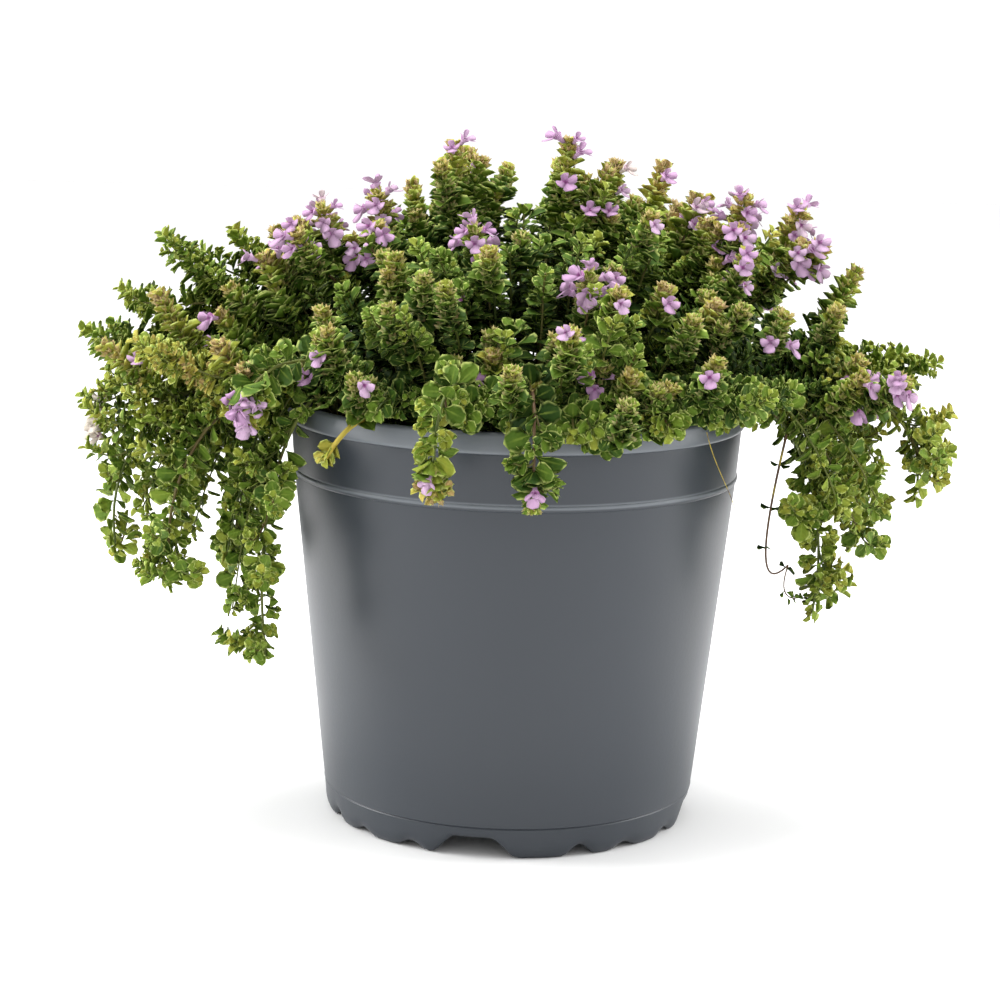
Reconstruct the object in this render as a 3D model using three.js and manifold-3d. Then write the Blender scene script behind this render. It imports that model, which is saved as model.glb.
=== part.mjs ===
// Creeping thyme in flower, growing in a 14 cm nursery pot.
// Millimetres, +Z up. The origin is on the floor below the pot's axis, and -Y is the front.
import * as THREE from "three";
import { mergeVertices } from "three/addons/utils/BufferGeometryUtils.js";
import Module from "manifold-3d";

const wasm = await Module();
wasm.setup();

// Driving dimensions of the pot
const pot = {
  height: 129,
  rimRadius: 70,
  lipHeight: 6.2, // rolled lip round the top
  bandRadius: 69.2, // band below the lip, at its top
  ridgeHeight: 107.2, // thin bead that ends the band
  ridgeRadius: 68.2,
  seamHeight: 9.5, // faint moulding line above the feet
  seamRadius: 57.4,
  footRadius: 56.9,
  footWidth: 2,
  wall: 1.3,
  baseTop: 8,
  baseUnderside: 6,
  feet: 8,
  firstFoot: 10, // degrees from the front, towards +X
  archHeight: 6, // open arch between two feet
  lowArchHeight: 2.5, // every other arch is low and has a small foot in its middle
  drainRadius: 3.5,
  drainRing: 38,
  segments: 48,
};

// Driving dimensions of the compost
const soil = {
  top: 118.4,
  edgeDrop: 1.6,
  shoulder: 56, // radius where the surface starts to drop to the edge
  crown: 30,
  crownRise: 0.6,
  lump: 0.7,
  gap: 0.6, // clearance to the pot's wall
  segments: 16,
  holeRadius: 1.7,
  holeFloor: 108,
};

// Driving dimensions of the plant. The leaves are a little larger than life, to cover with fewer.
const plant = {
  stemRadius: 0.85,
  stemClear: 122, // stems are upright up to this height, clear of the compost
  rootShare: 0.5, // how far out a stem is rooted, as a share of its tip's reach
  rootLimit: 49,
  trailRoot: 56, // trailing stems are rooted this far out
  leafLength: 12.5,
  leafWidth: 9.4,
  leafThickness: 1.3,
  leafDroop: 0.12,
  lean: 0.0052, // outward slope of a head for each millimetre from the axis
  lowHeads: 160, // heads below this height lean out more
  overRim: 137, // how high a stem passes over the pot's rim, at least
  trailTop: 154, // how high a trailing stem first heads
  trailBow: 9, // how far it bows out beyond its tip
  trailBend: 112, // height of that bow, before a share of the tip's height
  bladeGap: 0.35, // clearance that a blade keeps to every other piece
  bractTuck: 0.56, // how far the hollows between bracts go in, as a share of the head's radius
  floretRadius: 4.4,
  floretDepth: 4.8,
  bloomCore: 3.6,
  bloomHeight: 4.6,
  seatGap: 0.3,
  facet: 0.15, // edges that change the shape by less than this are dropped
};

// Each habit: the head's length, radius and whorls, then the leaf pairs and the stem's sides and steps
const habits = {
  tall: { head: 32, radius: 7.2, whorls: 6, pairs: 3, spacing: 11, steps: 4 },
  spike: { head: 22, radius: 7, whorls: 5, pairs: 3, spacing: 11.5, steps: 4 },
  bud: { head: 13, radius: 6.4, whorls: 3, pairs: 2, spacing: 8, steps: 4 },
  leafy: { head: 0, pairs: 5, spacing: 7, steps: 4 },
  hanging: { head: 12, radius: 6.2, whorls: 3, pairs: 3, spacing: 9.5, steps: 6, trails: true },
  trailing: { head: 0, pairs: 6, spacing: 10.5, steps: 6, trails: true },
};

// Shoots of the front half, named by where the tip of each is, with the flowers open on it.
// A bloom is a head in full flower; florets are single flowers among the bracts.
const frontShoots = [
  { habit: "tall", tip: [-21, 5, 206], florets: 2 },
  { habit: "spike", tip: [14, 0, 208], florets: 3 },
  { habit: "spike", tip: [29, 16, 201], florets: 0 },
  { habit: "spike", tip: [44, 28, 200], florets: 1 },
  { habit: "spike", tip: [53, 4, 192], florets: 1 },
  { habit: "spike", tip: [68, -4, 193], bloom: true },
  { habit: "spike", tip: [86, 8, 189], bloom: true },
  { habit: "spike", tip: [101, -10, 172], florets: 0 },
  { habit: "spike", tip: [-60, -12, 188], bloom: true },
  { habit: "spike", tip: [-44, -2, 192], bloom: true },
  { habit: "spike", tip: [-76, -22, 173], florets: 1 },
  { habit: "leafy", tip: [-107, -8, 177] },
  { habit: "leafy", tip: [-88, 14, 177] },
  { habit: "leafy", tip: [-120, 6, 158] },
  { habit: "spike", tip: [-106, -32, 162], florets: 0 },
  { habit: "tall", tip: [-36, -46, 176], florets: 0 },
  { habit: "spike", tip: [-14, -28, 184], bloom: true },
  { habit: "tall", tip: [20, -46, 173], bloom: true },
  { habit: "bud", tip: [42, -42, 169], florets: 0 },
  { habit: "spike", tip: [66, -32, 178], florets: 3 },
  { habit: "bud", tip: [-56, -60, 154], florets: 1 },
  { habit: "bud", tip: [-86, -50, 150], florets: 0 },
  { habit: "bud", tip: [-7, -63, 151], florets: 0 },
  { habit: "bud", tip: [32, -66, 146], florets: 0 },
  { habit: "bud", tip: [106, -26, 140], bloom: true },
  { habit: "leafy", tip: [119, 12, 144] },
  { habit: "leafy", tip: [66, -58, 142] },
  { habit: "hanging", tip: [-22, -86, 112], florets: 1 },
  { habit: "hanging", tip: [5, -86, 110], florets: 1 },
  { habit: "hanging", tip: [-75, -62, 128], florets: 3 },
  { habit: "trailing", tip: [-119, -26, 84] },
  { habit: "trailing", tip: [-72, -46, 58] },
  { habit: "trailing", tip: [-100, -44, 78] },
  { habit: "trailing", tip: [-86, 16, 74] },
  { habit: "trailing", tip: [-122.5, -5, 112] },
  { habit: "trailing", tip: [90, -28, 70] },
  { habit: "trailing", tip: [104, 0, 86] },
  { habit: "trailing", tip: [121, -14, 104] },
];

// The back half follows rings: how many shoots, how far out, how high, and which habits take turns
const backRings = [
  { count: 3, reach: 43, height: 198, habits: ["spike", "tall"], spread: [58, 166] },
  { count: 4, reach: 82, height: 178, habits: ["spike", "leafy"], spread: [18, 168] },
  { count: 4, reach: 100, height: 148, habits: ["leafy", "bud"], spread: [22, 158] },
  { count: 2, reach: 96, height: 92, habits: ["trailing"], spread: [30, 150] },
];

// A seeded generator, so that every build places the leaves alike
function seeded(seed) {
  let state = seed >>> 0;
  return () => {
    state = (Math.imul(state, 1664525) + 1013904223) >>> 0;
    return state / 4294967296;
  };
}

// A three.js geometry as a manifold solid, facing out
function solid(geometry) {
  const loose = geometry.index ? geometry.toNonIndexed() : geometry;
  const bare = new THREE.BufferGeometry().setAttribute("position", loose.attributes.position);
  const merged = mergeVertices(bare, 1e-3);
  const corners = merged.index.array;
  const faces = [];
  for (let i = 0; i < corners.length; i += 3) {
    const [a, b, c] = [corners[i], corners[i + 1], corners[i + 2]];
    if (a !== b && b !== c && c !== a) faces.push(a, b, c);
  }
  const make = (triVerts) =>
    new wasm.Manifold(
      new wasm.Mesh({
        numProp: 3,
        vertProperties: merged.attributes.position.array,
        triVerts: new Uint32Array(triVerts),
      }),
    );
  const made = make(faces);
  return made.volume() < 0 ? make(faces.slice().reverse()) : made;
}

// A manifold solid as a named mesh
function asMesh(name, body, material) {
  const { vertProperties, triVerts } = body.getMesh();
  const geometry = new THREE.BufferGeometry()
    .setAttribute("position", new THREE.BufferAttribute(vertProperties, 3))
    .setIndex(new THREE.BufferAttribute(triVerts, 1));
  geometry.computeVertexNormals();
  const mesh = new THREE.Mesh(geometry, material);
  mesh.name = name;
  return mesh;
}

// The largest single body of a fused solid, so that no loose scrap stays
function onePiece(body) {
  const bodies = body.decompose();
  return bodies.reduce((a, b) => (b.volume() > a.volume() ? b : a));
}

// Moves each vertex of a geometry by a rule
function reshape(geometry, rule) {
  const p = geometry.attributes.position;
  const v = new THREE.Vector3();
  for (let i = 0; i < p.count; i++) {
    v.fromBufferAttribute(p, i);
    rule(v, i);
    p.setXYZ(i, v.x, v.y, v.z);
  }
  return geometry;
}

// A lathe about +Z. Angles run from the front towards +X, and the rule gets each vertex's row and column.
function turned(profile, segments, firstAngle = 0, rule = null) {
  const points = profile.map(([r, z]) => new THREE.Vector2(r, z));
  const start = THREE.MathUtils.degToRad(firstAngle);
  const lathe = new THREE.LatheGeometry(points, segments, start, 2 * Math.PI);
  lathe.rotateX(Math.PI / 2);
  if (rule) {
    reshape(lathe, (v, i) => {
      const column = Math.floor(i / points.length) % segments;
      rule(v, i % points.length, column, firstAngle + (360 * column) / segments);
    });
  }
  return lathe;
}

// How far the pot's lower edge lifts off the floor at an angle
function footLift(angle) {
  const pitch = 360 / pot.feet;
  const turn = (angle - pot.firstFoot) / pitch;
  const off = Math.abs(turn - Math.round(turn)) * pitch;
  if (off < 0.25 * pitch) return 0;
  const lowArch = (((Math.floor(turn + 1e-6) % 2) + 2) % 2) === 0;
  if (!lowArch) return pot.archHeight;
  return off > 0.45 * pitch ? 0 : pot.lowArchHeight;
}

// Inner radius of the pot's wall at a height
function innerRadius(z) {
  const share = (z - pot.seamHeight) / (pot.ridgeHeight - pot.seamHeight);
  return pot.seamRadius - pot.wall + share * (pot.ridgeRadius - 0.9 - pot.seamRadius);
}

function makePot() {
  const { height, rimRadius, ridgeHeight, ridgeRadius } = pot;
  const lipFoot = height - pot.lipHeight;
  const profile = [
    [0, pot.baseUnderside],
    [pot.footRadius - pot.footWidth - 0.3, pot.baseUnderside],
    [pot.footRadius - pot.footWidth, 0],
    [pot.footRadius, 0],
    [pot.seamRadius, pot.seamHeight],
    [ridgeRadius - 0.9, ridgeHeight - 1.4],
    [ridgeRadius, ridgeHeight],
    [ridgeRadius - 0.3, ridgeHeight + 1.4],
    [pot.bandRadius, lipFoot],
    [rimRadius, lipFoot + 1.2],
    [rimRadius, height - 1.6],
    [rimRadius - 1.2, height],
    [rimRadius - 2.6, height],
    [innerRadius(height - 6) + 0.2, height - 1.5],
    [innerRadius(pot.baseTop), pot.baseTop],
    [0, pot.baseTop],
  ];
  const shell = solid(
    turned(profile, pot.segments, pot.firstFoot, (v, row, column, angle) => {
      if (row === 2 || row === 3) v.z = footLift(angle);
    }),
  );
  // Drain holes stand over the arches
  const drains = Array.from({ length: pot.feet }, (_, i) => {
    const angle = THREE.MathUtils.degToRad(pot.firstFoot + ((i + 0.5) * 360) / pot.feet);
    const drain = new THREE.CylinderGeometry(pot.drainRadius, pot.drainRadius, 6, 8);
    drain.rotateX(Math.PI / 2);
    drain.translate(pot.drainRing * Math.sin(angle), -pot.drainRing * Math.cos(angle), pot.baseTop - 1);
    return solid(drain);
  });
  return shell.subtract(wasm.Manifold.union(drains));
}

// The compost fills the pot, and has a plain hole for each stem
function makeSoil(roots) {
  const floor = pot.baseTop + soil.gap;
  const rim = soil.top - soil.edgeDrop;
  const profile = [
    [0, floor],
    [innerRadius(floor) - soil.gap, floor],
    [innerRadius(rim) - soil.gap, rim],
    [soil.shoulder, soil.top],
    [soil.crown, soil.top + soil.crownRise],
    [0, soil.top],
  ];
  const lumps = (v, row) => {
    if (row > 2) v.z += soil.lump * Math.sin(v.x * 0.21) * Math.cos(v.y * 0.17);
  };
  const body = solid(turned(profile, soil.segments, pot.firstFoot, lumps));
  const depth = soil.top + 6 - soil.holeFloor;
  const holes = roots.map(([x, y]) => {
    const hole = new THREE.CylinderGeometry(soil.holeRadius, soil.holeRadius, depth, 4);
    hole.rotateX(Math.PI / 2);
    hole.translate(x, y, soil.holeFloor + depth / 2);
    return solid(hole);
  });
  return body.subtract(wasm.Manifold.union(holes));
}

// The way that a shoot's head points: up, and outwards the further out and the lower it stands
function headDirection(shoot) {
  const [x, y, z] = shoot.tip;
  const lean = plant.lean * (1 + Math.max(0, plant.lowHeads - z) / 25);
  return new THREE.Vector3(x * lean, y * lean, 1).normalize();
}

// Where a shoot's stem leaves the compost
function rootOf(shoot) {
  const [x, y] = shoot.tip;
  const reach = Math.hypot(x, y);
  const upright = Math.min(plant.rootShare * reach, plant.rootLimit);
  const radius = habits[shoot.habit].trails ? plant.trailRoot : upright;
  return [(x / reach) * radius, (y / reach) * radius];
}

// A stem's centre line: straight steps from point to point, however far apart they are
class StemLine extends THREE.Curve {
  constructor(points) {
    super();
    this.points = points;
  }

  getPoint(t) {
    const at = t * (this.points.length - 1);
    const step = Math.min(Math.floor(at), this.points.length - 2);
    return this.points[step].clone().lerp(this.points[step + 1], at - step);
  }

  getUtoTmapping(u) {
    return u;
  }
}

// The bend of a stem, from where it is clear of the compost to its head or its hanging tip
function stemBend(shoot) {
  const tip = new THREE.Vector3(...shoot.tip);
  const clear = new THREE.Vector3(...shoot.root, plant.stemClear);
  if (habits[shoot.habit].trails) {
    const out = new THREE.Vector3(tip.x, tip.y, 0).normalize();
    const rise = clear.clone().setZ(plant.trailTop);
    const bow = tip.clone().addScaledVector(out, plant.trailBow);
    bow.setZ(plant.trailBend + 0.3 * tip.z);
    return new THREE.CubicBezierCurve3(clear, rise, bow, tip);
  }
  const way = headDirection(shoot);
  const end = tip.clone().addScaledVector(way, -0.8 * habits[shoot.habit].head);
  const span = end.distanceTo(clear);
  const rise = clear.clone().setZ(clear.z + 0.4 * span);
  const turn = end.clone().addScaledVector(way, -0.35 * span);
  turn.setZ(Math.max(turn.z, plant.overRim));
  return new THREE.CubicBezierCurve3(clear, rise, turn, end);
}

function makeStem(shoot) {
  const r = plant.stemRadius;
  const section = new THREE.Shape([
    new THREE.Vector2(r, 0),
    new THREE.Vector2(-0.5 * r, 0.87 * r),
    new THREE.Vector2(-0.5 * r, -0.87 * r),
  ]);
  const foot = new THREE.Vector3(...shoot.root, soil.holeFloor + plant.seatGap);
  const line = new StemLine([foot, ...shoot.line.points]);
  const steps = line.points.length - 1;
  return solid(
    new THREE.ExtrudeGeometry(section, { steps, bevelEnabled: false, extrudePath: line }),
  );
}

// A head of bracts: an upright lathe whose vertices stand out and in by turns, like stacked scales
function makeHead(length, radius, whorls) {
  const rows = Array.from({ length: whorls }, (_, i) => {
    const t = (i + 0.5) / whorls;
    return [radius * (0.72 + 0.3 * Math.sin(Math.PI * (0.15 + 0.8 * t))), t * length];
  });
  const cap = [0.5 * radius, length];
  const profile = [[0, 0.4], ...rows, cap, [0, length]];
  return turned(profile, 6, 0, (v, row, column) => {
    if (row < 1 || row > whorls) return;
    const standsOut = (row + column) % 2 === 0;
    const share = standsOut ? 1 : plant.bractTuck;
    v.x *= share;
    v.y *= share;
    if (standsOut) v.z += Math.min(0.3 * (length / whorls), length - 0.6 - v.z);
  });
}

// A flower: four lobes on a tube that narrows to its root at the origin, facing +Z
function makeFloret(size = 1) {
  const star = new THREE.SphereGeometry(1, 8, 2);
  star.rotateX(Math.PI / 2);
  return reshape(star, (v) => {
    const turn = Math.round((Math.atan2(v.y, v.x) / Math.PI) * 4);
    const radius = plant.floretRadius * size * (turn % 2 === 0 ? 1 : 0.5);
    const rim = Math.hypot(v.x, v.y) > 0.5;
    const front = plant.floretDepth * size;
    if (rim) v.set(v.x * radius, v.y * radius, front);
    else v.set(0, 0, v.z > 0 ? front - 0.7 : 0);
  });
}

// A blade: five corners, pointed at its root and blunt at its tip, with a flat face and a keel below.
// It runs from its root at the origin along +X. The sphere's top pole goes to one of the corners,
// where its faces close up and leave the flat face.
function makeBlade(length, width, thickness) {
  const oval = new THREE.SphereGeometry(1, 5, 2);
  oval.rotateX(Math.PI / 2);
  const fifth = (2 * Math.PI) / 5;
  return reshape(oval, (v) => {
    if (v.z > 0.5) v.set(-Math.cos(fifth), Math.sin(fifth), 0);
    const along = (v.x + 1) / 1.81;
    v.y *= width / 1.9;
    v.z = v.z * thickness - plant.leafDroop * along * along * length;
    v.x = along * length;
  });
}

// Places a geometry with its own +X along one direction and its +Z near another
function placed(geometry, at, along, up) {
  const x = along.clone().normalize();
  const y = up.clone().cross(x).normalize();
  const z = x.clone().cross(y);
  return geometry.applyMatrix4(new THREE.Matrix4().makeBasis(x, y, z).setPosition(at));
}

// Places a geometry with its own +Z along a direction
function aimed(geometry, at, direction) {
  const turn = new THREE.Quaternion().setFromUnitVectors(new THREE.Vector3(0, 0, 1), direction);
  return geometry.applyQuaternion(turn).translate(at.x, at.y, at.z);
}

// The upright spine of a shoot: its stem, and its head with the single flowers on it
function makeSpine(shoot, random) {
  const habit = habits[shoot.habit];
  const parts = [makeStem(shoot)];
  if (habit.head) {
    const tip = new THREE.Vector3(...shoot.tip);
    const way = habit.trails ? shoot.line.getTangent(1) : headDirection(shoot);
    const length = habit.head - (shoot.bloom ? plant.bloomHeight : 0);
    const base = tip.clone().addScaledVector(way, -habit.head);
    parts.push(solid(aimed(makeHead(length, habit.radius, habit.whorls), base, way)));
    const side = new THREE.Vector3(1, 0, 0).cross(way).normalize();
    for (let i = 0; i < (shoot.florets || 0); i++) {
      const turn = (i * 1.9 + random() * 1.2 - 0.6) * (i % 2 ? 1 : -1);
      const from = tip.clone().addScaledVector(way, -length * (0.16 + 0.2 * i) - 1);
      const face = side.clone().applyAxisAngle(way, turn).addScaledVector(way, 0.5).normalize();
      parts.push(solid(aimed(makeFloret(), from.addScaledVector(face, 2.2), face)));
    }
  }
  return onePiece(wasm.Manifold.union(parts));
}

// A head in full flower: flowers all round a small core, which sits on the flat top of its bracts
function makeBloom(shoot, random) {
  const way = headDirection(shoot);
  const core = new THREE.CylinderGeometry(0.7 * plant.bloomCore, plant.bloomCore, plant.bloomHeight, 6);
  core.rotateX(Math.PI / 2);
  core.translate(0, 0, plant.bloomHeight / 2);
  const parts = [solid(core)];
  const rings = [
    { count: 4, rise: 0.3, from: 2.6 },
    { count: 2, rise: 1.05, from: 3.4 },
  ];
  for (const ring of rings) {
    for (let i = 0; i < ring.count; i++) {
      const turn = ((i + 0.3 * random()) / ring.count) * 2 * Math.PI + ring.rise;
      const face = new THREE.Vector3(Math.cos(turn), Math.sin(turn), Math.tan(ring.rise)).normalize();
      const at = new THREE.Vector3(0, 0, ring.from - 0.4).addScaledVector(face, 1.9);
      parts.push(solid(aimed(makeFloret(0.95), at, face)));
    }
  }
  const body = onePiece(wasm.Manifold.union(parts));
  const base = new THREE.Vector3(...shoot.tip).addScaledVector(way, plant.seatGap - plant.bloomHeight);
  const turn = new THREE.Quaternion().setFromUnitVectors(new THREE.Vector3(0, 0, 1), way);
  const matrix = new THREE.Matrix4().compose(base, turn, new THREE.Vector3(1, 1, 1));
  return trimBelow(body).transform(matrix.elements);
}

// Cuts off what hangs below a bloom's seat
function trimBelow(body) {
  const slab = new THREE.BoxGeometry(40, 40, 20).translate(0, 0, -10);
  return onePiece(body.subtract(solid(slab)));
}

// Whether a blade keeps clear of every piece but its own
function standsClear(blade, own, pieces) {
  const box = blade.boundingBox();
  return pieces.every((piece) => {
    if (piece === own) return true;
    const other = piece.body.boundingBox();
    const apart = [0, 1, 2].some((k) => box.min[k] > other.max[k] || other.min[k] > box.max[k]);
    return apart || piece.body.intersect(blade).volume() < 1e-6;
  });
}

// Pairs of blades up a stem, each pair at right angles to the last. A blade that meets another piece
// is turned, then shortened, and left out if it still doesn't clear.
function addLeaves(shoot, pieces, random) {
  const habit = habits[shoot.habit];
  const own = shoot.piece;
  const total = shoot.line.getLength();
  const last = total - (habit.head ? 0.2 * habit.head + 0.8 : 0.5);
  const blades = [];
  for (let pair = 0; pair < habit.pairs; pair++) {
    const atTip = !habit.head && pair < 2;
    const along = Math.max(0, (last - pair * habit.spacing - (atTip ? 0 : random() * 2)) / total);
    const at = shoot.line.getPointAt(along);
    if (at.z < soil.top + 5 && Math.hypot(at.x, at.y) < pot.rimRadius) break;
    const tangent = shoot.line.getTangentAt(along);
    const across = tangent.clone().cross(new THREE.Vector3(0.31, 0.95, 0.1)).normalize();
    const rise = atTip ? 0.9 - 0.3 * pair : 0.45;
    const size = atTip ? 0.72 + 0.12 * pair : 0.92 + 0.2 * random();
    const roll = (pair % 2) * (Math.PI / 2) + random() * 0.5;
    for (const half of [0, Math.PI]) {
      for (const [nudge, shrink] of [[0, 1], [0.5, 1], [-0.5, 1], [0, 0.72]]) {
        const out = across.clone().applyAxisAngle(tangent, roll + half + nudge);
        const grow = out.clone().addScaledVector(tangent, rise).normalize();
        const blade = (more) =>
          solid(
            placed(
              makeBlade(
                plant.leafLength * size * shrink + more,
                plant.leafWidth * size * shrink + 2 * more,
                plant.leafThickness + 2 * more,
              ).translate(0, 0, more),
              at.clone().addScaledVector(grow, 0.15),
              grow,
              tangent,
            ),
          );
        if (standsClear(blade(plant.bladeGap), own, pieces)) {
          blades.push(blade(0));
          break;
        }
      }
    }
  }
  own.body = onePiece(wasm.Manifold.union([own.body, ...blades]).simplify(plant.facet));
}

// The shoots of the back, set out on their rings with a little seeded scatter
function backShoots(random) {
  const shoots = [];
  for (const ring of backRings) {
    const [from, to] = ring.spread;
    for (let i = 0; i < ring.count; i++) {
      const share = (i + 0.5) / ring.count;
      const angle = THREE.MathUtils.degToRad(from + share * (to - from) + (random() - 0.5) * 6);
      const reach = ring.reach * (0.95 + 0.1 * random());
      shoots.push({
        habit: ring.habits[i % ring.habits.length],
        tip: [reach * Math.cos(angle), reach * Math.sin(angle), ring.height + (random() - 0.5) * 12],
        florets: i % 2,
      });
    }
  }
  return shoots;
}

function makePlant() {
  const random = seeded(7);
  const shoots = [...frontShoots, ...backShoots(random)];
  const pieces = [{ name: "pot", body: makePot(), material: materials.pot }];
  for (const shoot of shoots) {
    shoot.root = rootOf(shoot);
    shoot.line = new StemLine(stemBend(shoot).getSpacedPoints(habits[shoot.habit].steps));
  }
  const roots = shoots.map((shoot) => shoot.root);
  pieces.push({ name: "compost", body: makeSoil(roots), material: materials.soil });
  const counts = {};
  const numbered = (word) => {
    counts[word] = (counts[word] || 0) + 1;
    return `${word}_${String(counts[word]).padStart(2, "0")}`;
  };
  const words = { leafy: "leafy_shoot", trailing: "trailing_stem", hanging: "hanging_shoot" };
  for (const shoot of shoots) {
    const word = words[shoot.habit] || "flower_shoot";
    shoot.piece = { name: numbered(word), body: makeSpine(shoot, random), material: materials.leaf };
    pieces.push(shoot.piece);
    if (shoot.bloom) {
      pieces.push({ name: numbered("bloom"), body: makeBloom(shoot, random), material: materials.flower });
    }
  }
  for (const shoot of shoots) addLeaves(shoot, pieces, random);
  return pieces;
}

const materials = {
  pot: new THREE.MeshStandardMaterial({ color: 0x5b6268, roughness: 0.42, metalness: 0 }),
  soil: new THREE.MeshStandardMaterial({ color: 0x2a1f17, roughness: 0.95, metalness: 0 }),
  leaf: new THREE.MeshStandardMaterial({ color: 0x5c7a2c, roughness: 0.6, metalness: 0 }),
  flower: new THREE.MeshStandardMaterial({ color: 0xcf9bd4, roughness: 0.6, metalness: 0 }),
};

const group = new THREE.Group();
for (const { name, body, material } of makePlant()) group.add(asMesh(name, body, material));
export default group;
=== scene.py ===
import math
import random

import bmesh
import bpy
from mathutils import Matrix, Vector, noise


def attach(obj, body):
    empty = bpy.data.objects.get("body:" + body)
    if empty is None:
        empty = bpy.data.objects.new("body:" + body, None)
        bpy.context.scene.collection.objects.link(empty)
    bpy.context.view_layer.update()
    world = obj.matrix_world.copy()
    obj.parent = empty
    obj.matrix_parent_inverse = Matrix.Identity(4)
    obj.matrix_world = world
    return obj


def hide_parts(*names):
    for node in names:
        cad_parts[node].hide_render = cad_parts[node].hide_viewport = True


# Creeping thyme in flower in a grey nursery pot. Sizes are in millimetres and are scaled to metres
# where a mesh is made. +X is right and -Y is the front.

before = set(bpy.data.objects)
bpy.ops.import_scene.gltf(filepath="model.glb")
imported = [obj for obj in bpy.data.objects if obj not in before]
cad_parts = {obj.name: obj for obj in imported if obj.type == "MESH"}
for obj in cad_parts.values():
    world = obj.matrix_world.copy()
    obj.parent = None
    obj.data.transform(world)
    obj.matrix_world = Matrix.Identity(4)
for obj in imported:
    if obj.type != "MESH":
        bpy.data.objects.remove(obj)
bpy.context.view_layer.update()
mm = 0.001
up = Vector((0, 0, 1))


# Nodes: a wire wraps a socket, so that maths on it adds Math nodes

class Wire:
    def __init__(self, tree, socket):
        self.tree = tree
        self.socket = socket

    def math(self, operation, first, second):
        return addNode(self.tree, "ShaderNodeMath", {"operation": operation}, {0: first, 1: second})

    def __add__(self, other):
        return self.math("ADD", self, other)

    def __radd__(self, other):
        return self.math("ADD", other, self)

    def __sub__(self, other):
        return self.math("SUBTRACT", self, other)

    def __rsub__(self, other):
        return self.math("SUBTRACT", other, self)

    def __mul__(self, other):
        return self.math("MULTIPLY", self, other)

    def __rmul__(self, other):
        return self.math("MULTIPLY", other, self)


def addNode(tree, kind, settings=None, values=None, out=0):
    node = tree.nodes.new(kind)
    for key, value in (settings or {}).items():
        if key == "stops":
            setStops(node.color_ramp, value)
        else:
            setattr(node, key, value)
    for key, value in (values or {}).items():
        socket = node.inputs[key]
        if isinstance(value, Wire):
            tree.links.new(value.socket, socket)
        else:
            socket.default_value = value
    return Wire(tree, node.outputs[out]) if node.outputs else node


def setStops(ramp, stops):
    while len(ramp.elements) < len(stops):
        ramp.elements.new(0.5)
    for element, (place, colour) in zip(ramp.elements, stops):
        element.position = place
        element.color = (*colour, 1)


def mixColours(tree, share, first, second):
    values = {0: share, 6: asColour(first), 7: asColour(second)}
    return addNode(tree, "ShaderNodeMix", {"data_type": "RGBA"}, values, 2)


def asColour(value):
    return value if isinstance(value, Wire) else (*value, 1)


def step(tree, value, low, high, to=(0, 1)):  # smooth step from low to high
    values = {0: value, 1: low, 2: high, 3: to[0], 4: to[1]}
    return addNode(tree, "ShaderNodeMapRange", {"interpolation_type": "SMOOTHSTEP"}, values)


def grain(tree, scale, detail=3, roughness=0.5):  # noise in object space
    place = addNode(tree, "ShaderNodeTexCoord", out=3)
    values = {"Vector": place, "Scale": scale, "Detail": detail, "Roughness": roughness}
    return addNode(tree, "ShaderNodeTexNoise", {}, values)


def attribute(tree, name):
    return addNode(tree, "ShaderNodeAttribute", {"attribute_name": name}, out=2)


def bump(tree, height, strength, distance):
    return addNode(tree, "ShaderNodeBump", {}, {"Height": height, "Strength": strength, "Distance": distance})


def ramp(tree, stops, place):
    return addNode(tree, "ShaderNodeValToRGB", {"stops": stops}, {0: place})


def waves(tree, phase):
    return addNode(tree, "ShaderNodeMath", {"operation": "SINE"}, {0: phase})


def newMaterial(name, paint, constants):
    material = bpy.data.materials.new(name)
    material.use_nodes = True
    tree = material.node_tree
    tree.nodes.clear()
    shader = addNode(tree, "ShaderNodeBsdfPrincipled", {}, {**constants, **paint(tree)})
    addNode(tree, "ShaderNodeOutputMaterial", {}, {"Surface": shader})
    return material


# Materials. Tint picks a leaf's colour: deep green at 0, fresh green, yellow-green, and brown at 1

leafLook = dict(
    colours=[
        (0.0, (0.012, 0.034, 0.004)),
        (0.25, (0.035, 0.077, 0.007)),
        (0.5, (0.122, 0.200, 0.021)),
        (0.75, (0.27, 0.285, 0.036)),
        (0.9, (0.39, 0.32, 0.065)),
        (1.0, (0.37, 0.26, 0.10)),
    ],
    # the pale margin colour is partly the leaf's own paler edge and partly a painted highlight
    margin=(0.52, 0.60, 0.17), rib=(0.32, 0.42, 0.07), ribShare=0.4, mottle=420, tintSpread=0.22, veins=34,
)


def paintLeaf(tree):
    look = leafLook
    mottle = grain(tree, look["mottle"])
    tint = attribute(tree, "tint") + (mottle - 0.5) * look["tintSpread"]
    colour = ramp(tree, look["colours"], tint)
    across = attribute(tree, "across")
    along = attribute(tree, "along")
    rib = step(tree, across, 0.16, 0.02) * step(tree, along, 1.0, 0.2)
    colour = mixColours(tree, rib * look["ribShare"], colour, look["rib"])
    # Pale margin: partly the leaf's own paler edge, partly a painted highlight where the cupped edge would
    # catch the light
    sides = step(tree, across, 0.70, 0.96)
    tip = step(tree, along, 0.88, 1.0)
    edge = addNode(tree, "ShaderNodeMath", {"operation": "MAXIMUM"}, {0: sides, 1: tip})
    young = step(tree, tint, -0.1, 0.5, (0.3, 0.85))  # dark leaves have fainter pale margins, which are partly painted highlight
    colour = mixColours(tree, edge * young, colour, look["margin"])
    veins = waves(tree, along * look["veins"] - across * 9)
    relief = veins * 0.25 + mottle * 0.5 - rib * 0.8
    return {
        "Base Color": colour,
        "Roughness": 0.52 + mottle * 0.2,
        "Normal": bump(tree, relief, 0.5, 0.00012),
    }


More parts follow.
